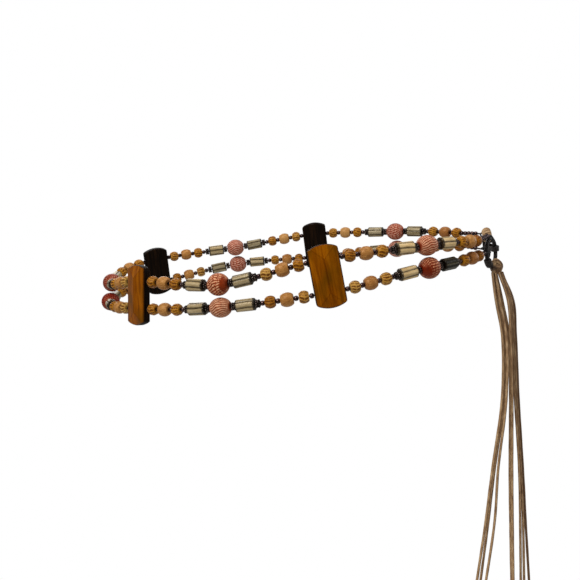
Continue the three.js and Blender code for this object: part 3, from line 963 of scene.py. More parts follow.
@dataclass(frozen=True)
class LustreMetal(Finish):
    """Dark metal-coated glass or metal with a worn sheen: bright points on a dark ground."""

    ground: str = "241a1c"
    worn: str = "6c5450"

    def dress(self, tree: NodeTree) -> dict:
        """Slow changes of tone over the surface and light wear.

        Args:
            tree: The material's tree.

        Returns:
            What the shader's inputs get.
        """
        add = partial(add_node, tree)
        # Changes over about two millimetres
        place = add("ShaderNodeTexCoord").outputs["Object"]
        noise = add("ShaderNodeTexNoise", {"Vector": place, "Scale": 500.0, "Detail": 2.0})
        colour = add("ShaderNodeValToRGB", {"Fac": noise}, stops=((0.35, self.ground), (0.75, self.worn)))
        rough = add("ShaderNodeMapRange", {
            "Value": noise, "To Min": self.roughness * 0.7, "To Max": self.roughness * 1.4,
        })
        return {"Base Color": colour, "Roughness": rough}


@dataclass(frozen=True)
class CarvedBone(Finish):
    """Bone, cut in lobes, smoked dark at the ends and stained in the cuts, with painted shade on the lobes
    and in the bore: waxy and warm.
    """

    bone: tuple[str, str, str] = ("caa46a", "e8c488", "f8dcaa")
    aged: tuple[str, str, str] = ("74694c", "98896a", "c0b292")
    stain: str = "1e0e04"
    rim: str = "120a06"
    # Colour of the painted shade on the lobes
    shade: str = "584618"

    def dress(self, tree: NodeTree) -> dict:
        """Long faint streaks, dark cuts between the lobes, painted shade on the lobes and dark ends.

        Args:
            tree: The material's tree.

        Returns:
            What the shader's inputs get.
        """
        add = partial(add_node, tree)
        # Bone's own streaks, about a millimetre wide and ten long
        streaks = self.own_noise(tree, (0.1, 1.0, 1.0), Scale=0.9, Detail=4.0, Roughness=0.65)
        colour, older = (
            add("ShaderNodeValToRGB", {"Fac": streaks}, stops=zip((0.3, 0.48, 0.7), tones))
            for tones in (self.bone, self.aged)
        )
        layers = (("age", older), ("flank", self.shade), ("valley", self.stain), ("rim", self.rim))
        for name, over in layers:
            share = add("ShaderNodeAttribute", attribute_name=name).outputs["Fac"]
            colour = add("ShaderNodeMix", {0: share, 6: colour, 7: over}, data_type="RGBA")
        bump = add("ShaderNodeBump", {"Strength": 0.25, "Distance": 0.0001, "Height": streaks})
        return {"Base Color": colour, "Normal": bump}


@dataclass(frozen=True)
class StainedCarving(Finish):
    """Light wood stained red-brown and then cut, so that each cut shows the pale wood."""

    stain: str = "98381f"
    cut: str = "e6b294"
    deep: str = "56180e"

    def dress(self, tree: NodeTree) -> dict:
        """Uneven stain with pale cuts.

        Args:
            tree: The material's tree.

        Returns:
            What the shader's inputs get.
        """
        add = partial(add_node, tree)
        # Stain pools over patches of some three millimetres
        pools = self.own_noise(tree, (1, 1, 1), Scale=0.35, Detail=3.0)
        uneven = add("ShaderNodeMapRange", {
            "Value": pools, "From Min": 0.45, "From Max": 0.75, "To Max": 0.7,
        })
        stained = add("ShaderNodeMix", {0: uneven, 6: self.stain, 7: self.deep}, data_type="RGBA")
        # The cuts are a little duller in spots of under a millimetre
        fine = self.own_noise(tree, (0.5, 1, 1), Scale=1.6, Detail=3.0)
        rubbed = add("ShaderNodeMapRange", {"Value": fine, "From Min": 0.3, "From Max": 0.7, "To Min": 0.72})
        carve = add("ShaderNodeAttribute", attribute_name="carve").outputs["Fac"]
        shown = add("ShaderNodeMath", {0: carve, 1: rubbed}, operation="MULTIPLY")
        return {"Base Color": add("ShaderNodeMix", {0: shown, 6: stained, 7: self.cut}, data_type="RGBA")}


@dataclass(frozen=True)
class PolishedHorn(Finish):
    """Horn, cut, ground in facets and buffed: amber streaks, with a dull dark rind on its sides and back."""

    streaks: tuple[str, str, str] = ("6a3400", "8c4a00", "a86206")
    olive: str = "5c3802"
    # Colour of the painted shade lines along the ridge and hips
    crease: str = "461600"
    edge: tuple[str, str] = ("0a0807", "24160c")
    reflection: float = 0.5
    rind_roughness: float = 0.6
    rind_reflection: float = 0.1

    def dress(self, tree: NodeTree) -> dict:
        """Long streaks up the bar, with its sides and back nearly black and painted shade lines along the
        ridge and hips.

        Args:
            tree: The material's tree.

        Returns:
            What the shader's inputs get.
        """
        add = partial(add_node, tree)
        # Streaks about two millimetres wide and thirty long
        broad = self.own_noise(
            tree, (1.0, 0.6, 0.07), Scale=0.42, Detail=5.0, Roughness=0.62, Distortion=0.5
        )
        colour = add("ShaderNodeValToRGB", {"Fac": broad}, stops=zip((0.32, 0.5, 0.72), self.streaks))
        # Greener depths over some fifteen millimetres
        depth = self.own_noise(tree, (1.0, 0.6, 0.6), Scale=0.09, Detail=1.5)
        greener = add("ShaderNodeMapRange", {
            "Value": depth, "From Min": 0.42, "From Max": 0.66, "To Max": 0.75,
        })
        # Painted shade: dark lines along the ridge and the hips stand in for how light changes where the
        # facets meet
        crease = add("ShaderNodeAttribute", attribute_name="crease").outputs["Fac"]
        edge = add("ShaderNodeAttribute", attribute_name="edge").outputs["Fac"]
        rind = add("ShaderNodeValToRGB", {"Fac": broad}, stops=zip((0.45, 0.72), self.edge))
        for share, over in ((greener, self.olive), (crease, self.crease), (edge, rind)):
            colour = add("ShaderNodeMix", {0: share, 6: colour, 7: over}, data_type="RGBA")
        # The rind is only sanded
        dull = add("ShaderNodeMapRange", {
            "Value": edge, "To Min": self.roughness, "To Max": self.rind_roughness,
        })
        # It also reflects less, so that it stays dark against the light from above
        matt = add("ShaderNodeMapRange", {
            "Value": edge, "To Min": self.reflection, "To Max": self.rind_reflection,
        })
        return {"Base Color": colour, "Roughness": dull, "Specular IOR Level": matt}


@dataclass(frozen=True)
class RawLace(Finish):
    """Leather cut in thin lace: dull, paler where it is rubbed, brown along its cut edge, with painted shade
    down that side.
    """

    hide: tuple[str, str, str] = ("684628", "b08a60", "d6b68a")
    edge: str = "5c3c20"
    # Colour of the painted shade on the knot
    soiled: str = "2c1a14"
    edge_weight: float = 0.85

    def dress(self, tree: NodeTree) -> dict:
        """Uneven tan along the lace, darker down one side from its cut edge and painted shade.

        Args:
            tree: The material's tree.

        Returns:
            What the shader's inputs get.
        """
        add = partial(add_node, tree)
        # Changes about eight millimetres long and one across
        along = self.own_noise(tree, (0.16, 1.0, 1.0), Scale=0.8, Detail=4.0, Roughness=0.6)
        tanned = add("ShaderNodeValToRGB", {"Fac": along}, stops=zip((0.28, 0.5, 0.7), self.hide))
        # One side of the lace is darker: its brown cut edge, with painted shade on that side
        grain = add("ShaderNodeAttribute", attribute_name="grain").outputs["Vector"]
        parts = add("ShaderNodeSeparateXYZ", {0: grain})
        side = add("ShaderNodeMapRange", {
            "Value": parts.outputs[1], "From Min": 0.2, "From Max": 0.85, "To Max": self.edge_weight,
        })
        edged_and_shaded = add("ShaderNodeMix", {0: side, 6: tanned, 7: self.edge}, data_type="RGBA")
        # Painted shade that a piece carries, as the knot does
        soil = add("ShaderNodeAttribute", attribute_name="soil").outputs["Fac"]
        colour = add("ShaderNodeMix", {0: soil, 6: edged_and_shaded, 7: self.soiled}, data_type="RGBA")
        fibres = self.own_noise(tree, (1, 1, 1), Scale=4.0, Detail=3.0)
        bump = add("ShaderNodeBump", {"Strength": 0.5, "Distance": 0.00015, "Height": fibres})
        return {"Base Color": colour, "Normal": bump}


@dataclass(frozen=True)
class PlainFloor(Finish):
    """Matt studio paper, lit so evenly that it shows as plain white."""

    paper: str = "e6e6e4"
    white: float = 1.0

    def dress(self, tree: NodeTree) -> dict:
        """Shows one even white, and lights the belt only as pale paper would.

        Args:
            tree: The material's tree.

        Returns:
            What the shader's inputs get.
        """
        seen = add_node(tree, "ShaderNodeLightPath").outputs["Is Camera Ray"]
        even = add_node(tree, "ShaderNodeEmission", {"Strength": self.white})
        paper = tree.nodes["Principled BSDF"]
        mixed = add_node(tree, "ShaderNodeMixShader", {0: seen, 1: paper, 2: even})
        set_inputs(tree, tree.nodes["Material Output"], {"Surface": mixed})
        return {"Base Color": self.paper}


# Pieces


@dataclass
class TieCords:
    """The tie's eight free ends, hanging limp from the knot."""

    sizes: BeltSizes
    finish: Material
    path_points: int = 30
    rings: int = 150
    sides: int = 12

    def build(self) -> None:
        """Makes each cord, tied to the belt's one body in place of its CAD node."""
        generator = np.random.default_rng(5)
        for index, route in enumerate(CORD_ROUTES, start=1):
            points = np.array(route, dtype=float)
            line = catmull_rom(points, self.rings)
            run = np.linspace(0, 1, self.rings)
            phase = generator.uniform(0, math.tau, 3)
            swell = 1 + 0.03 * np.sin(run * 70 + phase[0]) + 0.02 * np.sin(run * 31 + phase[1])
            shell = sweep(line, self.sizes.cord / 2 * swell, self.sides)
            shell.values["tone"] = np.full(len(shell.points), generator.uniform(0, 1))
            cord = place_piece(f"lace_{index}", shell, self.finish, [f"tie_cord_{index}"])


@dataclass
class BeadBlanks:
    """The small beads that repeat along the strands, each made once in a few versions."""

    sizes: BeltSizes
    versions: int = 3
    # Seven sides to each row of grooves, so that a groove has round shoulders
    grooved_sides: int = 84
    groove_rows: int = 12
    groove_depth: float = 0.3
    smooth_sides: int = 36
    small_sides: int = 18
    balls_round: int = 9
    ball_radius: float = 0.93
    ball_ring: float = 2.35

    def barrel(self, length: float, diameter: float, face: float, sides: int, rows: int = 15) -> Shell:
        """Barrel about X with softened faces, drilled through.

        Args:
            length: Its length.
            diameter: Its greatest diameter.
            face: Diameter at its faces.
            sides: Points round it.
            rows: Points along its belly.

        Returns:
            The barrel.
        """
        half, bore = length / 2, self.sizes.bore
        share = np.linspace(-1, 1, rows)
        body_x = share * (half - 0.35)
        body_r = face / 2 + (diameter - face) / 2 * (1 - np.abs(share) ** 2.3)
        left = [
            (-half + 0.25, bore), (-half, bore + 0.3), (-half, face / 2 - 0.55),
            (-half + 0.12, face / 2 - 0.15),
        ]
        right = [(-x, r) for x, r in left[::-1]]
        profile = np.array([*left, *zip(body_x, body_r), *right])
        return lathe(profile, sides)

    def grooved(self, version: int) -> Shell:
        """Barrel with open grain along it, in broken grooves that lean a little.

        Args:
            version: Which of the blanks it is.

        Returns:
            The bead about X.
        """
        sizes = self.sizes
        shell = self.barrel(sizes.grooved, sizes.grooved_diameter, sizes.grooved_face, self.grooved_sides)
        angle = shell.values.pop("angle")
        x, y, z = shell.points.T
        radial = np.hypot(y, z)
        sway = 0.16 * np.sin(0.8 * x + version) + 0.15 * np.sin(2 * angle + 2 * version)
        row = self.groove_rows * angle / math.tau + 0.06 * x + sway
        number = np.floor(row) % self.groove_rows
        middle = 1 - np.abs(row % 1 - 0.5) * 2
        broken = (x / 5.2 + 0.37 * number + 0.4 * np.sin(number * 2.1 + version)) % 1
        faded = 0.8 + 0.2 * np.sin(number * 1.7 + version)
        outside = smoothstep(radial, sizes.grooved_face / 2 - 0.3, sizes.grooved_face / 2 + 0.3)
        unbroken = smoothstep(np.abs(broken - 0.5) * 2, 0.0, 0.17)
        groove = smoothstep(middle, 0.22, 0.58) * unbroken * faded * outside
        shell.points[:, 1:] *= (1 - self.groove_depth * groove / np.maximum(radial, 1))[:, None]
        shell.values = {"groove": groove, "grain": shell.points.copy()}
        return shell

    def smooth(self, version: int) -> Shell:
        """Plain barrel, slightly uneven.

        Args:
            version: Which of the blanks it is.

        Returns:
            The bead about X.
        """
        sizes = self.sizes
        shell = self.barrel(sizes.smooth, sizes.smooth_diameter, sizes.smooth_face, self.smooth_sides)
        angle = shell.values.pop("angle")
        shell.points[:, 1:] *= (1 + 0.012 * np.sin(2 * angle + version))[:, None]
        shell.values = {"groove": np.zeros(len(shell.points)), "grain": shell.points.copy()}
        return shell

    def seed(self, version: int) -> Shell:
        """Rounded seed bead.

        Args:
            version: Which of the blanks it is.

        Returns:
            The bead about X.
        """
        reach, half, waist = 1.2, 1.65, 0.95
        angles = np.linspace(-reach, reach, 9)
        radius = 2.1 - 0.08 * (version % 2)
        outer = [
            (half * math.sin(a) / math.sin(reach), waist + (radius - waist) * math.cos(a)) for a in angles
        ]
        profile = np.array([(-1.5, 0.8), *outer, (1.5, 0.8)])
        shell = lathe(profile, self.small_sides)
        shell.values = {"grain": shell.points.copy()}
        return shell

    def balls(self, version: int) -> Shell:
        """Ring of small balls round a collar.

        Args:
            version: Which of the blanks it is.

        Returns:
            The bead about X.
        """
        collar = lathe(np.array([(-1.3, 0.85), (-1.3, 1.9), (1.3, 1.9), (1.3, 0.85)]), self.small_sides)
        collar.values = {}
        rows = np.linspace(-math.pi / 2, math.pi / 2, 8)
        size = self.ball_radius
        ball = lathe(np.array([(size * math.sin(a), max(size * math.cos(a), 0.02)) for a in rows]), 12)
        ball.values = {}
        shells = [collar]
        out = self.ball_ring
        for index in range(self.balls_round):
            for side in (-1, 1):
                angle = math.tau * (index + 0.25 * side + 0.1 * version) / self.balls_round
                centre = np.array([0.8 * side, -out * math.cos(angle), out * math.sin(angle)])
                shells.append(Shell(ball.points + centre, ball.faces, {}))
        shell = Shell.joined(shells)
        shell.values = {"grain": shell.points.copy()}
        return shell

    def collection(self, kind: str) -> Collection:
        """The versions of one kind of bead in a collection of their own.

        Args:
            kind: The kind.

        Returns:
            The collection.
        """
        makers = {"grooved": self.grooved, "smooth": self.smooth, "seed": self.seed, "spacer": self.balls}
        made = bpy.data.collections.new(f"{kind}_blanks")
        bpy.context.scene.collection.children.link(made)
        for version in range(self.versions):
            mesh = new_mesh(f"{kind}_blank_{version}", makers[kind](version), 50)
            made.objects.link(bpy.data.objects.new(mesh.name, mesh))
        return made


def run_tree(piece: Object, tree: GeometryNodeTree, settings: dict[str, object]) -> None:
    """Runs a Geometry Nodes tree on an object and keeps the result as its plain mesh.

    Args:
        piece: The object, whose mesh is what the tree starts from.
        tree: The tree.
        settings: The tree's named inputs.
    """
    given = piece.data
    modifier = piece.modifiers.new(tree.name, "NODES")
    modifier.node_group = tree
    sockets = {item.name: item.identifier for item in tree.interface.items_tree if item.in_out == "INPUT"}
    for key, value in settings.items():
        modifier[sockets[key]] = value
    bpy.context.view_layer.update()
    depsgraph = bpy.context.evaluated_depsgraph_get()
    solid = bpy.data.meshes.new_from_object(
        piece.evaluated_get(depsgraph), preserve_all_data_layers=True, depsgraph=depsgraph
    )
    piece.modifiers.clear()
    piece.data = solid
    bpy.data.meshes.remove(given)
    solid.name = piece.name


def add_sockets(tree: GeometryNodeTree, inputs: dict[str, str]) -> NodeOutputs:
    """Gives a tree its named inputs and its one output.

    Args:
        tree: The tree.
        inputs: The kind of each named input.

    Returns:
        The inputs' sockets inside the tree.
    """
    for name, kind in inputs.items():
        tree.interface.new_socket(name, in_out="INPUT", socket_type=f"NodeSocket{kind}")
    tree.interface.new_socket("Result", in_out="OUTPUT", socket_type="NodeSocketGeometry")
    return add_node(tree, "NodeGroupInput").outputs


class BeadString:
    """Geometry Nodes tree that strings beads on points which hold each bead's turn and tone."""

    def __init__(self) -> None:
        """Builds the tree."""
        self.tree = bpy.data.node_groups.new("bead_string", "GeometryNodeTree")
        add = partial(add_node, self.tree)
        given = add_sockets(self.tree, {
            "Geometry": "Geometry", "Blanks": "Collection", "Versions": "Int", "Bead Size": "Float",
            "Size Spread": "Float", "Seed": "Int", "Finish": "Material",
        })
        blanks = add("GeometryNodeCollectionInfo", {
            "Collection": given["Blanks"], "Separate Children": True, "Reset Children": True,
        })
        last = add("ShaderNodeMath", {0: given["Versions"], 1: 1.0}, operation="SUBTRACT")
        pick = add("FunctionNodeRandomValue", {4: 0, 5: last, "Seed": given["Seed"]}, data_type="INT")
        low, high = (
            add("ShaderNodeMath", {0: given["Bead Size"], 1: given["Size Spread"]}, operation=way)
            for way in ("SUBTRACT", "ADD")
        )
        size = add("FunctionNodeRandomValue", {2: low, 3: high, "Seed": given["Seed"]}, data_type="FLOAT")
        turn = add("GeometryNodeInputNamedAttribute", {"Name": "turn"}, data_type="FLOAT_VECTOR")
        facing = add("FunctionNodeEulerToRotation", {0: turn})
        strung = add("GeometryNodeInstanceOnPoints", {
            "Points": given["Geometry"], "Instance": blanks, "Pick Instance": True, "Instance Index": pick,
            "Rotation": facing, "Scale": size,
        })
        spin = add(
            "FunctionNodeRandomValue", {2: 0.0, 3: math.tau, "Seed": given["Seed"]}, data_type="FLOAT"
        )
        about = add("FunctionNodeAxisAngleToRotation", {"Axis": (1.0, 0.0, 0.0), "Angle": spin})
        spun = add("GeometryNodeRotateInstances", {
            "Instances": strung, "Rotation": about, "Local Space": True,
        })
        real = add("GeometryNodeRealizeInstances", {"Geometry": spun})
        painted = add("GeometryNodeSetMaterial", {"Geometry": real, "Material": given["Finish"]})
        add("NodeGroupOutput", {0: painted})

    def string(
        self, name: str, places: list[Place], tones: np.ndarray, settings: dict[str, object]
    ) -> Object:
        """Strings beads on places as one plain mesh.

        Args:
            name: Name of the piece.
            places: Where the beads sit.
            tones: A number from 0 to 1 for each bead, read by its material.
            settings: The tree's named inputs.

        Returns:
            The piece.
        """
        mesh = bpy.data.meshes.new(name)
        mesh.from_pydata([(place.centre * MM).tolist() for place in places], [], [])
        turns = [Matrix(place.axes.T.tolist()).to_euler("XYZ") for place in places]
        write_values(mesh, {"turn": np.array(turns), "tone": tones})
        piece = new_object(name, mesh)
        run_tree(piece, self.tree, settings)
        return piece


class LaceWinding:
    """Geometry Nodes tree that winds a lace closely round a line."""

    STEPS_A_TURN = 26
    # From the wire's surface to the lace's middle, as a share of the lace's radius
    SNUG_SHARE = 0.9

    def __init__(self) -> None:
        """Builds the tree."""
        self.tree = bpy.data.node_groups.new("lace_winding", "GeometryNodeTree")
        add = partial(add_node, self.tree)
        given = add_sockets(self.tree, {
            "Geometry": "Geometry", "Turns": "Float", "Winding Radius": "Float", "Lace Radius": "Float",
            "Steps": "Int", "Finish": "Material",
        })
        line = add("GeometryNodeMeshToCurve", {"Mesh": given["Geometry"]})
        even = add("GeometryNodeResampleCurve", {"Curve": line, "Count": given["Steps"]})
        place = add("GeometryNodeSplineParameter")
        turns = add("ShaderNodeMath", {0: place.outputs["Factor"], 1: given["Turns"]}, operation="MULTIPLY")
        angle = add("ShaderNodeMath", {0: turns, 1: math.tau}, operation="MULTIPLY")
        out, over = (add("ShaderNodeMath", {0: angle}, operation=wave) for wave in ("COSINE", "SINE"))
        normal = add("GeometryNodeInputNormal").outputs[0]
        tangent = add("GeometryNodeInputTangent")
        side = add("ShaderNodeVectorMath", {0: tangent, 1: normal}, operation="CROSS_PRODUCT")
        part, other = (
            add("ShaderNodeVectorMath", {0: way, "Scale": share}, operation="SCALE")
            for way, share in ((normal, out), (side, over))
        )
        spoke = add("ShaderNodeVectorMath", {0: part, 1: other})
        offset = add("ShaderNodeVectorMath", {0: spoke, "Scale": given["Winding Radius"]}, operation="SCALE")
        wound = add("GeometryNodeSetPosition", {"Geometry": even, "Offset": offset})
        kept = add(
            "GeometryNodeStoreNamedAttribute",
            {"Geometry": wound, "Name": "run", "Value": place.outputs["Length"]},
            data_type="FLOAT", domain="POINT",
        )
        circle = add("GeometryNodeCurvePrimitiveCircle", {"Resolution": 12, "Radius": given["Lace Radius"]})
        profile = add(
            "GeometryNodeStoreNamedAttribute",
            {"Geometry": circle, "Name": "around", "Value": add("GeometryNodeInputPosition")},
            data_type="FLOAT_VECTOR", domain="POINT",
        )
        solid = add("GeometryNodeCurveToMesh", {"Curve": kept, "Profile Curve": profile, "Fill Caps": True})
        # The lace's own place, its length and its way round, in millimetres
        run = add("GeometryNodeInputNamedAttribute", {"Name": "run"}, data_type="FLOAT")
        around = add("GeometryNodeInputNamedAttribute", {"Name": "around"}, data_type="FLOAT_VECTOR")
        parts = add("ShaderNodeSeparateXYZ", {0: around})
        where = add("ShaderNodeCombineXYZ", {0: run, 1: parts.outputs[0], 2: parts.outputs[1]})
        grain = add("ShaderNodeVectorMath", {0: where, "Scale": 1 / MM}, operation="SCALE")
        marked = add(
            "GeometryNodeStoreNamedAttribute", {"Geometry": solid, "Name": "grain", "Value": grain},
            data_type="FLOAT_VECTOR", domain="POINT",
        )
        painted = add("GeometryNodeSetMaterial", {"Geometry": marked, "Material": given["Finish"]})
        add("NodeGroupOutput", {0: painted})

    def wind(self, name: str, line: np.ndarray, wire: float, lace: float, finish: Material) -> None:
        """Winds a lace from one end of a line to the other, each turn against the last.

        Args:
            name: Name of the piece.
            line: Points of the line in millimetres.
            wire: Diameter of what it is wound on.
            lace: Diameter of the lace.
            finish: Its material.
        """
        mesh = bpy.data.meshes.new(name)
        mesh.from_pydata((line * MM).tolist(), [(k, k + 1) for k in range(len(line) - 1)], [])
        piece = new_object(name, mesh)
        turns = float(run_lengths(line)[-1]) / lace
        run_tree(piece, self.tree, {
            "Turns": turns, "Winding Radius": (wire + lace * self.SNUG_SHARE) / 2 * MM,
            "Lace Radius": lace / 2 * MM, "Steps": int(turns * self.STEPS_A_TURN), "Finish": finish,
        })
        if signed_volume(piece.data) < 0:
            piece.data.flip_normals()
        piece.data.shade_smooth()
        register(piece, [])


@dataclass
class Strands:
    """The wood, seed and ball beads of both strands and the thread through them."""

    layout: BeltLayout
    finishes: dict[str, Material]
    bead_size: float = 0.99
    size_spread: float = 0.015
    eye_steps: int = 28
    thread_sides: int = 8

    def build(self) -> None:
        """Makes the pieces of both strands."""
        blanks = BeadBlanks(self.layout.sizes)
        beads = BeadString()
        kinds = {kind: blanks.collection(kind) for kind in ("grooved", "smooth", "seed", "spacer")}
        generator = np.random.default_rng(11)
        for strand in Strand:
            run = self.layout.strand_run(strand)
            eyes = [self.eye(index, strand, run[-index].centre) for index in (0, 1)]
            fill = self.end_seeds(run, [eye[1] for eye in eyes])
            for seed, kind in enumerate(kinds, start=1):
                places = [place for place in run if place.kind == kind]
                places += fill if kind == "seed" else []
                tones = self.tones(places, generator)
                piece = beads.string(f"{strand.word}_{kind}_beads", places, tones, {
                    "Blanks": kinds[kind], "Versions": blanks.versions, "Bead Size": self.bead_size,
                    "Size Spread": self.size_spread, "Seed": seed + 10 * strand.value,
                    "Finish": self.finishes[kind],
                })
                register(piece, [f"{strand.word}_strand"] if kind == "grooved" else [])
            self.thread(strand, run, eyes)
        for made in kinds.values():
            for blank in list(made.objects):
                bpy.data.objects.remove(blank)
            bpy.data.collections.remove(made)

    def tones(self, places: list[Place], generator: np.random.Generator) -> np.ndarray:
        """Tone of each bead, darker toward the first ring.

        Args:
            places: Where the beads sit.
            generator: Source of their differences.

        Returns:
            A number from 0 to 1 for each.
        """
        tones = generator.uniform(0.12, 0.95, len(places))
        near_ring = np.array([smoothstep(place.centre[0], 95, 165) for place in places])
        return np.clip(tones - 0.3 * near_ring, 0.02, 1)

    def eye(self, index: int, strand: Strand, end: np.ndarray) -> tuple[Shell, np.ndarray]:
        """Thread's loop round a ring's wire, and where the strand leaves it.

        Args:
            index: Which ring.
            strand: The strand.
            end: Middle of the strand's last bead.

        Returns:
            The loop, and the point where the strand starts.
        """
        layout, sizes = self.layout, self.layout.sizes
        frame = layout.ring_frame(index)
        angle = math.radians(RINGS[index]["eyes"][strand])
        centre, along = layout.ring_wire(frame, frame["to_strands"], angle)
        toward = end - centre
        toward = unit(toward - along * (toward @ along))
        radius = (sizes.ring_wire + sizes.thread) / 2 + sizes.eye_clearance
        side = np.cross(along, toward)
        turns = full_turn(self.eye_steps)
        circle = centre + radius * (np.outer(np.cos(turns), toward) + np.outer(np.sin(turns), side))
        return sweep(circle, sizes.thread / 2, self.thread_sides, closed=True), centre + toward * radius

    def end_seeds(self, run: list[Place], joints: list[np.ndarray]) -> list[Place]:
        """Seed beads that cover the bare thread between the last bead and each ring.

        Args:
            run: The strand's places.
            joints: Where the strand meets each ring.

        Returns:
            The seed beads' places.
        """
        length = self.layout.sizes.seed + self.layout.sizes.bead_gap
        filled = []
        for end, joint in ((run[0], joints[0]), (run[-1], joints[1])):
            way = joint - end.centre
            count = int((np.linalg.norm(way) - length * 0.5 - 0.8) / length)
            for number in range(1, count + 1):
                filled.append(Place("seed", end.centre + unit(way) * length * number, unit(way)))
        return filled

    def thread(self, strand: Strand, run: list[Place], eyes: list[tuple[Shell, np.ndarray]]) -> None:
        """Waxed thread through one strand, with its eyes on the rings.

        Args:
            strand: The strand.
            run: The strand's places.
            eyes: Its loop and starting point at each ring.
        """
        path = np.array([eyes[0][1], *(place.centre for place in run), eyes[1][1]])
        line = sweep(path, self.layout.sizes.thread / 2, self.thread_sides)
        shell = Shell.joined([line, eyes[0][0], eyes[1][0]])
        shell.values["tone"] = np.full(len(shell.points), 0.5)
        place_piece(f"{strand.word}_thread", shell, self.finishes["thread"], [])


@dataclass
class BoneTubes:
    """The lobed bone beads either side of each turned bead."""

    layout: BeltLayout
    finishes: dict[str, Material]
    lobes: int = 6
    lobe_depth: float = 0.5
    sides: int = 96

    def build(self) -> None:
        """Makes one piece for each tube."""
        generator = np.random.default_rng(23)
        for strand in Strand:
            for index, place in enumerate(self.layout.places(strand, "tube"), start=1):
                charred = strand is Strand.LOWER and index == 1
                shell = self.tube(generator)
                # The tubes nearest the first ring are creamier, with weaker painted shade on their lobes,
                # and the others greyer
                age = generator.uniform(0.0, 0.15) if index <= 2 else generator.uniform(0.6, 1.0)
                shell.values["age"] = np.full(len(shell.points), age)
                shell.values["flank"] *= 0.45 + 0.5 * age
                finish = self.finishes["charred_bone" if charred else "bone"]
                node = f"{strand.word}_bone_tube_{index}"
                name = f"{strand.word}_carved_tube_{index}"
                place_piece(name, shell.moved(place.axes, place.centre), finish, [node], 35)

    def tube(self, generator: np.random.Generator) -> Shell:
        """One tube about X with rounded, drilled ends.

        Args:
            generator: Source of its small differences.

        Returns:
            The tube, with the values that its material reads.
        """
        sizes = self.layout.sizes
        half, bore, radius = sizes.tube / 2, sizes.bore, sizes.tube_diameter / 2
        arcs = np.linspace(0, math.pi / 2, 6)
        corner = [(-half + 0.9 * (1 - math.sin(a)), radius - 0.9 * (1 - math.cos(a))) for a in arcs[::-1]]
        left = [(-half + 0.7, bore), (-half + 0.2, bore + 0.35), (-half, bore + 0.9), (-half, radius * 0.62)]
        body = [(x, radius) for x in np.linspace(-half + 1.4, half - 1.4, 22)]
        right = [(-x, r) for x, r in [*left, *corner][::-1]]
        profile = np.array([*left, *corner, *body, *right])
        shell = lathe(profile, self.sides)
        angle = shell.values.pop("angle")
        x = shell.points[:, 0]
        radial = np.hypot(shell.points[:, 1], shell.points[:, 2])
        start, lean = generator.uniform(0, 1), generator.uniform(-0.012, 0.012)
        bow = generator.uniform(-0.05, 0.05)
        turn = angle * self.lobes / math.tau + start + lean * x + bow * np.cos(x * 0.25)
        off = np.abs((turn % 1) - 0.5) * 2
        outer = smoothstep(radial, bore + 0.5, radius - 0.4)
        sunk = self.lobe_depth * 1.15 * (off**2.2) * outer
        shell.points[:, 1:] *= ((radial - sunk) / radial)[:, None]
        reach = off * math.pi * radius / self.lobes
        edge = math.pi * radius / self.lobes
        line = 1 - smoothstep(edge - reach, 0.4, 0.95)
        every = np.floor(turn + 0.5).astype(int) % self.lobes
        weights = generator.uniform(0.7, 1.0, self.lobes)
        worn = 0.88 + 0.12 * np.sin(x * 0.9 + start * 9)
        valley = line * weights[every] * worn * outer
        # Painted shade: each lobe darkens toward its edges, more on one side, and some lobes are darker as a
        # whole, standing in for light falling across the facets
        lower = (turn % 1) < 0.5
        flank = smoothstep(off, np.where(lower, 0.15, 0.55), 1.0)
        flank = flank * generator.uniform(0.6, 0.95, self.lobes)[every]
        flank = np.clip(flank + generator.uniform(0.0, 0.4, self.lobes)[every], 0, 1)
        # The ends are smoked dark, and the bore is darkened as painted shade in the hole
        near_end = smoothstep(np.abs(x), half - 1.55, half - 0.8)
        inside = 1 - smoothstep(radial, bore + 0.1, bore + 0.6)
        rim = np.clip(0.95 * near_end + inside, 0, 1)
        shell.values = {
            "valley": valley, "flank": flank, "rim": rim, "grain": shell.points.copy(),
            "tone": np.full(len(x), generator.uniform(0, 1)),
        }
        return shell


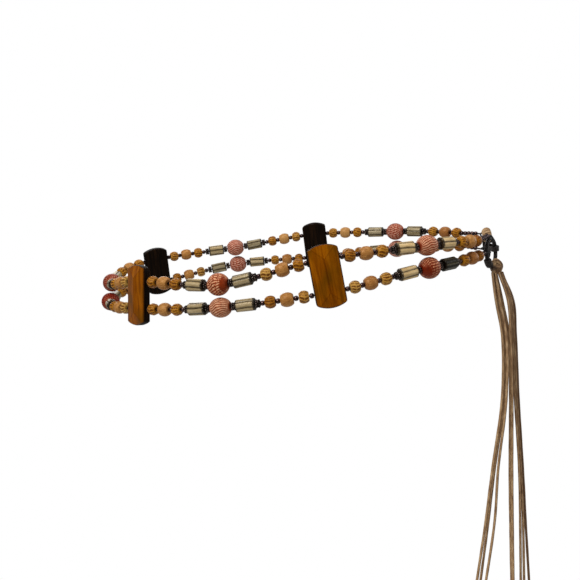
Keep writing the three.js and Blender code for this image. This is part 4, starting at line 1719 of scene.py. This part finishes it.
@dataclass
class TurnedBeads:
    """The large carved beads between the bone tubes."""

    layout: BeltLayout
    sides: int = 192
    steps: int = 86
    cut_depth: float = 0.28

    def build(self) -> None:
        """Makes one piece for each turned bead."""
        generator = np.random.default_rng(31)
        for strand in Strand:
            places = self.layout.places(strand, "turned")
            for index, (place, bead) in enumerate(zip(places, TURNED_BEADS[strand]), start=1):
                # Pale cuts on red stain, dull as dry wood with a little wax on the high parts
                name = f"stained_carved_wood_{strand.word}_{index}"
                finish = StainedCarving(
                    name, roughness=0.45, shine="f0a070", stain=bead.stain, cut=bead.cut
                ).material()
                shell = self.bead(bead, generator).moved(place.axes, place.centre)
                node = f"{strand.word}_turned_bead_{index}"
                place_piece(f"{strand.word}_carved_bead_{index}", shell, finish, [node], 60)

    def bead(self, bead: TurnedBead, generator: np.random.Generator) -> Shell:
        """One bead about X, drilled, its outside cut.

        Args:
            bead: Its diameter and carving.
            generator: Source of its small differences.

        Returns:
            The bead with its cuts as shape and as values.
        """
        sizes = self.layout.sizes
        half = sizes.turned / 2
        edge = math.acos(sizes.turned_face / bead.diameter)
        arc = np.linspace(-edge, edge, self.steps)
        outer = np.stack([half * np.sin(arc) / math.sin(edge), bead.diameter / 2 * np.cos(arc)], axis=1)
        bore, face = sizes.bore, sizes.turned_face / 2
        left = [(-half + 0.5, bore), (-half + 0.05, bore + 0.45), (-half, (bore + face) / 2)]
        right = [(-x, r) for x, r in left[::-1]]
        shell = lathe(np.array([*left, *outer, *right]), self.sides)
        angle = shell.values.pop("angle")
        x = shell.points[:, 0]
        radial = np.hypot(shell.points[:, 1], shell.points[:, 2])
        carve = self.cuts(bead, angle, x, generator)
        outside = smoothstep(radial, face + 0.2, face + 1.4)
        carve = carve * outside
        shell.points[:, 1:] *= ((radial - self.cut_depth * carve) / radial)[:, None]
        shell.values = {
            "carve": carve, "grain": shell.points.copy(), "tone": np.full(len(x), generator.uniform(0, 1)),
        }
        return shell

    def cuts(
        self, bead: TurnedBead, angle: np.ndarray, x: np.ndarray, generator: np.random.Generator
    ) -> np.ndarray:
        """How deep the surface is cut, from 0 to 1.

        Args:
            bead: Its carving.
            angle: Way round the bead, 0 at its front and a quarter turn at its top.
            x: Place along the bead.
            generator: Source of its small differences.

        Returns:
            The depth at each point.
        """
        a, b, c = generator.uniform(0, math.tau, 3)
        rows = {Carving.DASHES: 23, Carving.LINES: 24, Carving.SPOTS: 22}[bead.carving]
        wave = 0.35 * np.sin(x * 0.45 + angle + a) + 0.1 * np.sin(x * 1.1 - 2 * angle + b)
        row = angle * rows / math.tau + wave - 0.14 * x
        across = np.abs((row % 1) - 0.5) * 2
        number = np.floor(row)
        cut = smoothstep(across, 0.36, 0.62)
        if bead.carving is Carving.DASHES:
            dash = (x / 3.4 + 0.5 * number + 0.2 * np.sin(number * 2.3 + c)) % 1
            cut = cut * smoothstep(np.abs(dash - 0.5) * 2, 0.12, 0.42)
        elif bead.carving is Carving.SPOTS:
            spot = (x / 2.4 + 0.37 * number) % 1
            uneven = 0.6 + 0.4 * np.sin(angle * 5 + x + a)
            cut = cut * smoothstep(np.abs(spot - 0.5) * 2, 0.35, 0.7) * uneven
        else:
            cut = cut * (0.8 + 0.2 * np.sin(x * 1.3 + number + b))
        if bead.smooth_size > 0:
            turn = angle - math.tau * (angle > math.pi)
            apart = np.hypot((x / 8 - bead.smooth_at) / bead.smooth_size, (turn + bead.smooth_drop) / 1.1)
            cut = cut * smoothstep(apart + 0.12 * np.sin(3 * x + 7 * angle), 0.7, 1.25)
        return cut


@dataclass
class HornBars:
    """The four faceted bars that hold the strands apart."""

    layout: BeltLayout
    finish: Material
    columns: int = 56
    rows: int = 104
    corner: float = 1.3
    edge_layers: int = 5
    ridge_blend: float = 0.02
    bore_sides: int = 20
    sharp: float = 32.0

    def build(self) -> None:
        """Makes one piece for each bar."""
        middles = {strand: self.layout.places(strand, "bar") for strand in Strand}
        for index, (length, spacing) in enumerate(BARS):
            upper, lower = middles[Strand.UPPER][index], middles[Strand.LOWER][index]
            right = unit(upper.right + lower.right)
            up = upper.centre - lower.centre
            up = unit(up - right * (up @ right))
            axes = np.array([right, np.cross(up, right), up])
            name = f"horn_bar_{index + 1}"
            mesh = self.drilled(name, self.body(length), spacing)
            self.add_values(mesh, length, index)
            turn = Matrix(axes.T.tolist()).to_4x4()
            turn.translation = Vector(((upper.centre + lower.centre) / 2 * MM).tolist())
            mesh.transform(turn)
            piece = new_object(name, mesh)
            piece.data.materials.clear()
            piece.data.materials.append(self.finish)
            register(piece, [f"bar_{index + 1}"])

    def outline_shares(self, count: int) -> np.ndarray:
        """Even steps from -1 to 1, drawn together toward both ends."""
        steps = np.linspace(-1, 1, count)
        return 0.45 * steps + 0.55 * np.sin(steps * math.pi / 2)

    def body(self, length: float) -> Shell:
        """One bar about its middle, front to -Y, before it is drilled.

        Args:
            length: The bar's length.

        Returns:
            The bar.
        """
        sizes = self.layout.sizes
        half, shoulder = sizes.bar_width / 2, length / 2 - sizes.bar_rise
        across, along = np.meshgrid(
            self.outline_shares(self.columns), self.outline_shares(self.rows), indexing="xy"
        )
        x = half * across * (1 - 0.035 * np.abs(along) ** 24)
        limit = shoulder + sizes.bar_rise * (1 - across**2)
        z = limit * along * (1 - 0.02 * np.abs(across) ** 16)
        back = sizes.bar_edge / 2
        rise = sizes.bar_ridge - sizes.bar_edge
        from_side = half - np.abs(x)
        from_end = limit - np.abs(z)
        slope = np.minimum(from_side / (half * 0.97), 1.0)
        hip = np.minimum((length / 2 - np.abs(z)) / sizes.bar_hip, 1.0)
        # The roof is the lower of the two slopes, with a narrow round between them
        blend = self.ridge_blend
        share = np.clip(0.5 + (hip - slope) / (2 * blend), 0, 1)
        roof = hip * (1 - share) + slope * share - blend * share * (1 - share)
        near = np.minimum(from_side, from_end)
        inset = np.clip(self.corner - near, 0, self.corner)
        drop = self.corner - np.sqrt(np.maximum(self.corner**2 - inset**2, 0))
        front = -(back + rise * np.clip(roof, 0, 1)) + drop
        rear = back - drop
        count = self.rows * self.columns
        points = [np.stack([x, y, z], axis=-1).reshape(-1, 3) for y in (front, rear)]
        faces = grid_faces(self.rows, self.columns, False, False)
        faces += [tuple(corner + count for corner in face[::-1]) for face in faces]
        # The way round the outline, which the front and the back share
        grid = np.arange(count).reshape(self.rows, self.columns)
        border = np.concatenate([grid[0], grid[1:, -1], grid[-1, -2::-1], grid[-2:0:-1, 0]]).tolist()
        joined = np.concatenate(points)
        layers = self.edge_layers
        previous = border
        for layer in range(1, layers + 1):
            if layer == layers:
                following = [corner + count for corner in border]
            else:
                share = layer / layers
                band = joined[border] * (1 - share) + joined[[b + count for b in border]] * share
                following = list(range(len(joined), len(joined) + len(border)))
                joined = np.concatenate([joined, band])
            for k in range(len(border)):
                n = (k + 1) % len(border)
                faces.append((previous[n], previous[k], following[k], following[n]))
            previous = following
        return Shell(joined, faces)

    def drilled(self, name: str, shell: Shell, spacing: float) -> Mesh:
        """The bar with a bore across it for each strand.

        Args:
            name: Its name.
            shell: The bar.
            spacing: How far apart the bores are.

        Returns:
            The drilled bar.
        """
        bar = new_object(name, new_mesh(name, shell))
        bore, width = self.layout.sizes.bore, self.layout.sizes.bar_width
        profile = np.array([(-width, 0.001), (-width, bore), (width, bore), (width, 0.001)])
        cutters = []
        for side in (1, -1):
            drill = lathe(profile, self.bore_sides)
            drill.values = {}
            drill.points[:, 2] += side * spacing / 2
            cutter = new_object(f"{name}_drill", new_mesh(f"{name}_drill", drill))
            cutters.append(cutter)
            cut = bar.modifiers.new("bore", "BOOLEAN")
            cut.operation, cut.solver, cut.object = "DIFFERENCE", "EXACT", cutter
        bpy.context.view_layer.update()
        depsgraph = bpy.context.evaluated_depsgraph_get()
        mesh = bpy.data.meshes.new_from_object(bar.evaluated_get(depsgraph), depsgraph=depsgraph)
        for spare in [bar, *cutters]:
            bpy.data.objects.remove(spare)
        mesh.name = name
        mesh.shade_smooth()
        mesh.set_sharp_from_angle(angle=math.radians(self.sharp))
        return mesh

    def add_values(self, mesh: Mesh, length: float, index: int) -> None:
        """Writes where the horn is dark, where painted shade lines follow the ridge and hips, and where its
        grain runs.

        Args:
            mesh: The mesh.
            length: The bar's length.
            index: Which bar, so that each has streaks of its own.
        """
        sizes = self.layout.sizes
        points = np.empty(len(mesh.vertices) * 3, dtype=np.float32)
        mesh.vertices.foreach_get("co", points)
        points = points.reshape(-1, 3) / MM
        x, y, z = points.T
        side = sizes.bar_width / 2 - np.abs(x)
        limit = length / 2 - sizes.bar_rise * (x / (sizes.bar_width / 2)) ** 2
        end = limit - np.abs(z)
        near = np.minimum(side, end)
        deep = smoothstep(y, -sizes.bar_edge / 2 + 0.5, -sizes.bar_edge / 2 + 2.2)
        edge = np.clip(0.9 * (1 - smoothstep(near, 0.25, 1.1)) + deep, 0, 1)
        slope = side / (sizes.bar_width / 2 * 0.97)
        hip = (length / 2 - np.abs(z)) / sizes.bar_hip
        # Painted shade along the ridge and the hips, where the facets meet
        on_ridge = (1 - smoothstep(np.abs(x), 0.15, 0.6)) * (hip > 1)
        on_hip = (1 - smoothstep(np.abs(slope - hip) * sizes.bar_width / 2, 0.15, 0.7)) * (hip < 1.03)
        crease = np.maximum(0.6 * on_ridge, 0.4 * on_hip)
        tone = np.full(len(points), (index * 0.37) % 1)
        write_values(mesh, {"edge": edge, "crease": crease, "grain": points, "tone": tone})


@dataclass
class EndRings:
    """The two iron rings, bent from rod and forge-welded, a little uneven."""

    layout: BeltLayout
    finish: Material
    steps: int = 120
    sides: int = 24

    def build(self) -> None:
        """Makes both rings."""
        sizes = self.layout.sizes
        for index, ring in enumerate(RINGS):
            frame = self.layout.ring_frame(index)
            turns = full_turn(self.steps)
            radius = (sizes.ring_diameter - sizes.ring_wire) / 2
            spokes = np.outer(np.cos(turns), frame["right"]) + np.outer(np.sin(turns), frame["up"])
            dents = 1 + 0.02 * np.sin(5 * turns + index) + 0.015 * np.sin(13 * turns)
            wire = sizes.ring_wire / 2 * RING_WIRE_SHARE * dents
            shell = sweep(frame["centre"] + radius * spokes, wire, self.sides, closed=True)
            place_piece(f"iron_{ring['node']}", shell, self.finish, [ring["node"]])


@dataclass
class Tie:
    """The lashing between the rings, a winding on each, and the knot on the first."""

    layout: BeltLayout
    finish: Material
    dark_finish: Material
    turns: int = 3
    clearance: float = 0.08
    lashing_laces: int = 4
    lashing_girth: float = 0.56
    lashing_spread: float = 0.62
    lashing_steps: int = 280
    lashing_sides: int = 12
    # From and to which angle a ring is wound, in degrees, and the lace's diameter
    top_winding: tuple[float, float, float] = (22, 76, 2.3)
    foot_winding: tuple[float, float, float] = (206, 242, 1.3)
    knot_size: tuple[float, float, float] = (14.0, 12.0, 14.0)
    knot_pull: tuple[float, float, float] = (0.72, 0.95, 1.0)
    knot_shift: float = 3.2
    knot_drop: float = 1.0
    knot_angle: float = math.radians(-80)
    # Lean and roll of each turn of the knot, how far it is off the middle, and its girth
    knot_turns: tuple[tuple[float, float, float, float], ...] = (
        (0.12, 0.0, -0.62, 1.05),
        (1.25, 0.35, 0.1, 1.3),
        (-0.95, -0.25, 0.05, 1.35),
        (0.35, 0.2, 0.3, 1.25),
        (1.5, 1.1, -0.1, 1.2),
        (-0.3, 0.6, -0.18, 1.2),
    )
    knot_steps: int = 64
    knot_sides: int = 14
    core_share: float = 0.9
    # Middle of the knot's painted shade, from the knot's middle, and how far it reaches
    knot_shade: tuple[float, float, float] = (-3.5, -4.5, -0.8)
    shade_reach: tuple[float, float, float] = (4.2, 5.0, 3.4)

    def build(self) -> None:
        """Makes the lashing, the windings on the rings and the knot."""
        self.lashing()
        winding = LaceWinding()
        wire = self.layout.sizes.ring_wire
        start, end, lace = self.top_winding
        winding.wind("ring_top_winding", self.ring_arc(1, start, end), wire, lace, self.finish)
        start, end, lace = self.foot_winding
        winding.wind("ring_foot_winding", self.ring_arc(0, start, end), wire, lace, self.dark_finish)
        self.knot()

    def ring_arc(self, index: int, start: float, end: float) -> np.ndarray:
        """Line along a ring's wire between two angles in degrees up from its side by the other ring.

        Args:
            index: Which ring.
            start: The first angle.
            end: The last angle.

        Returns:
            The line's points.
        """
        frame = self.layout.ring_frame(index)
        angles = np.radians(np.linspace(start, end, 24))
        return np.array([self.layout.ring_wire(frame, -frame["to_strands"], angle)[0] for angle in angles])

    def lashing(self) -> None:
        """Turns of lace drawn tight round the two wires where the rings face each other."""
        sizes = self.layout.sizes
        frames = [self.layout.ring_frame(0), self.layout.ring_frame(1)]
        wires = [self.layout.wire_toward(frames[k], frames[1 - k]["centre"]) for k in (0, 1)]
        height = self.turns * sizes.cord * self.lashing_spread
        # The wires curve away above and below the middle turn
        wire_radius = (sizes.ring_diameter - sizes.ring_wire) / 2
        bow = wire_radius - math.sqrt(wire_radius**2 - (height / 2) ** 2)
        lace = sizes.cord / 2 * self.lashing_girth
        hug = sizes.ring_wire / 2 * RING_WIRE_SHARE * RING_DENT_LIMIT + lace + bow + self.clearance
        reach = np.linalg.norm(wires[1] - wires[0]) / 2
        along = unit(wires[1] - wires[0])
        up = frames[0]["up"] + frames[1]["up"]
        up = unit(up - along * (up @ along))
        across = np.cross(up, along)
        middle = (wires[0] + wires[1]) / 2
        # Half a circle round each wire, and a straight run between them on either side
        share = np.linspace(0, self.lashing_laces, 48 * self.lashing_laces + 1)
        angle = math.tau * share
        far = reach * np.sign(np.cos(angle)) + hug * np.cos(angle)
        rise = (share / self.lashing_laces - 0.5) * height
        path = middle + np.outer(far, along) + np.outer(hug * np.sin(angle), across) + np.outer(rise, up)
        shell = sweep(even_steps(path, self.lashing_steps), lace, self.lashing_sides)
        shell.values["tone"] = np.full(len(shell.points), 0.4)
        place_piece("lashing_turns", shell, self.dark_finish, ["tie_lashing"])

    def knot(self) -> None:
        """Turns of lace drawn tight round one another on the ring's wire."""
        layout, sizes = self.layout, self.layout.sizes
        frame = layout.ring_frame(0)
        wire, _ = layout.ring_wire(frame, -frame["to_strands"], self.knot_angle)
        centre = wire + frame["normal"] * self.knot_shift
        centre[2] -= self.knot_drop
        radii = (np.array(self.knot_size) / 2 - sizes.cord / 2 * 1.1) * self.knot_pull
        shells = []
        for number, (lean, roll, shift, girth) in enumerate(self.knot_turns):
            axes = np.array(Matrix.Rotation(roll, 3, "Z") @ Matrix.Rotation(lean, 3, "X"))
            angles = full_turn(self.knot_steps)
            shrink = math.sqrt(1 - shift**2)
            level = np.full(self.knot_steps, shift)
            circle = np.stack([shrink * np.cos(angles), shrink * np.sin(angles), level], axis=1)
            bulge = 1 + 0.04 * np.sin(2 * angles + 1.7 * number) + 0.025 * np.sin(5 * angles + number)
            loop = centre + (circle @ axes.T) * radii * bulge[:, None]
            lace = sizes.cord / 2 * girth * (1 + 0.08 * np.sin(3 * angles + 2 * number))
            turn = sweep(loop, lace, self.knot_sides, closed=True)
            turn.values["tone"] = np.full(len(turn.points), 0.2 + 0.13 * number)
            shells.append(turn)
        size = self.core_share
        arc = np.linspace(0, math.pi, 14)
        profile = [(-size * math.cos(a), max(size * math.sin(a), 0.01)) for a in arc]
        core = lathe(np.array(profile), 24)
        core.points = centre + core.points[:, [1, 2, 0]] * radii
        core.values = {"grain": core.points - centre, "tone": np.full(len(core.points), 0.9)}
        shells.append(core)
        for shell in shells:
            # Painted shade: the lace is darkened where it goes in under the other turns, on the side toward
            # the beads
            away = np.linalg.norm((shell.points - centre - self.knot_shade) / self.shade_reach, axis=1)
            # Painted shade also darkens the creases between the turns
            depth = np.linalg.norm((shell.points - centre) / radii, axis=1)
            crease = 0.3 * (1 - smoothstep(depth, 0.9, 1.12))
            shell.values["soil"] = np.maximum(0.8 * (1 - smoothstep(away, 0.4, 1.1)), crease)
        place_piece("leather_knot", Shell.joined(shells), self.finish, ["tie_knot"])


@dataclass
class Studio:
    """Camera, floor and soft light."""

    camera_place: tuple[float, float, float] = (0.0763, -0.6455, 0.08435)
    camera_turn: tuple[float, float, float] = (math.radians(80), 0.0, math.radians(7.1))
    lens: float = 43.83
    floor_height: float = -0.9
    floor_size: float = 40.0
    surround: float = 0.2
    paper_white: float = 1.0

    def camera(self) -> None:
        """Puts the camera where the photograph was taken from."""
        data = bpy.data.cameras.new("camera")
        data.lens, data.sensor_width, data.sensor_fit = self.lens, 36.0, "HORIZONTAL"
        data.clip_start, data.clip_end = 0.01, 100.0
        camera = bpy.data.objects.new("camera", data)
        camera.location, camera.rotation_euler = self.camera_place, self.camera_turn
        bpy.context.scene.collection.objects.link(camera)
        bpy.context.scene.camera = camera

    def light(self) -> None:
        """Pale floor, even surroundings and large soft lamps all round."""
        half = self.floor_size / 2
        corners = [(-half, -half), (half, -half), (half, half), (-half, half)]
        mesh = bpy.data.meshes.new("floor")
        mesh.from_pydata([(x, y, self.floor_height) for x, y in corners], [], [(0, 1, 2, 3)])
        floor = new_object("floor", mesh)
        # Even and without shine, so that nothing draws the eye from the belt
        paper = PlainFloor("matt_studio_paper", roughness=0.95, white=self.paper_white)
        mesh.materials.append(paper.material())
        world = bpy.data.worlds.new("studio")
        world.use_nodes = True
        tree = world.node_tree
        seen = add_node(tree, "ShaderNodeLightPath").outputs["Is Camera Ray"]
        strength = add_node(
            tree, "ShaderNodeMath", {0: seen, 1: self.paper_white - self.surround, 2: self.surround},
            operation="MULTIPLY_ADD",
        )
        set_inputs(tree, tree.nodes["Background"], {"Color": "ffffff", "Strength": strength})
        bpy.context.scene.world = world
        bpy.context.scene.view_settings.view_transform = "Standard"
        # Name, place in metres, width and power of each lamp
        lamps = [
            ("key", (-0.75, -1.15, 1.25), 0.8, 23.0),
            ("fill", (1.5, -0.5, 0.5), 1.0, 3.5),
            ("top", (0.1, 0.1, 1.6), 1.0, 10.0),
            ("rear", (-0.7, 1.3, 0.5), 0.9, 5.0),
            ("side", (1.5, 0.8, 0.5), 0.9, 5.0),
        ]
        for name, place, size, power in lamps:
            data = bpy.data.lights.new(name, "AREA")
            data.size, data.energy = size, power
            lamp = bpy.data.objects.new(name, data)
            lamp.location = place
            lamp.rotation_euler = (Vector((0, 0, 0)) - Vector(place)).to_track_quat("-Z", "Y").to_euler()
            bpy.context.scene.collection.objects.link(lamp)


def make_finishes() -> dict[str, Material]:
    """Every shared finish of the belt, by what it is put on.

    Returns:
        The materials.
    """
    finishes = [
        # Ochre palm wood with dark open grain along each bead, satin from oil and wear
        ("grooved", OiledWood(
            "open_grained_palm_wood", roughness=0.4, coat=0.08, coat_roughness=0.3, shine="e8a850",
        )),
        # Tan to rosy wood, sanded smooth, a soft shine on the belly
        ("smooth", OiledWood(
            "sanded_rosewood", roughness=0.42, coat=0.1, coat_roughness=0.3, shine="e8b478",
            fibre=("8c5624", "b27a3e", "c89452"), pale="d0a468", deep="8c5228", fibre_width=0.8,
        )),
        # Nearly black glass with a plum-brown metal lustre, bright points of light
        ("seed", LustreMetal("metal_lustre_glass", roughness=0.16, metallic=0.9)),
        # Dark cast metal, a little browner and duller than the glass
        ("spacer", LustreMetal(
            "blackened_cast_metal", roughness=0.22, metallic=0.95, ground="1e1816", worn="6c5e56"
        )),
        # Black waxed thread, nearly hidden
        ("thread", RawLace(
            "waxed_thread", roughness=0.6, hide=("0c0908", "1c1410", "2a1e18"), edge="0c0908",
        )),
        # Cream bone with smoked ends, a waxy polish
        ("bone", CarvedBone(
            "smoked_carved_bone", roughness=0.32, coat=0.12, coat_roughness=0.18, shine="f8e4c0",
        )),
        # Bone burned nearly black, with paler cuts
        ("charred_bone", CarvedBone(
            "charred_carved_bone", roughness=0.34, coat=0.12, coat_roughness=0.18, shine="a09880",
            bone=("0e0c0a", "18150f", "2a251b"), aged=("0e0c0a", "18150f", "2a251b"),
            stain="52492f", shade="0a0908",
        )),
        # Amber horn, buffed until it shines
        ("bar", PolishedHorn(
            "buffed_horn", roughness=0.26, ior=1.42, coat=0.06, coat_roughness=0.06, shine="d08020",
        )),
        # Forged iron, blacked and rubbed with wax
        ("ring", LustreMetal(
            "waxed_black_iron", roughness=0.42, metallic=0.7, ground="120e0c", worn="2c2420",
        )),
        # The same lace, coloured nearly black, with a dull sheen
        ("dark_lace", RawLace(
            "waxed_black_lace", roughness=0.5, hide=("120d0a", "241a14", "3a2c22"), edge="0e0a08"
        )),
        # Undyed lace, dull and dry
        ("lace", RawLace("raw_goat_leather_lace", roughness=0.78)),
    ]
    return {key: finish.material() for key, finish in finishes}


def main() -> None:
    """Builds the belt's pieces in order, then the studio."""
    logging.basicConfig(level=logging.INFO, format="%(name)s: %(message)s")
    studio = Studio()
    studio.camera()
    layout = BeltLayout(BeltSizes())
    finishes = make_finishes()
    TieCords(layout.sizes, finishes["lace"]).build()
    Strands(layout, finishes).build()
    BoneTubes(layout, finishes).build()
    TurnedBeads(layout).build()
    HornBars(layout, finishes["bar"]).build()
    EndRings(layout, finishes["ring"]).build()
    Tie(layout, finishes["lace"], finishes["dark_lace"]).build()
    studio.light()
    bpy.context.view_layer.update()


if __name__ == "__main__":
    main()
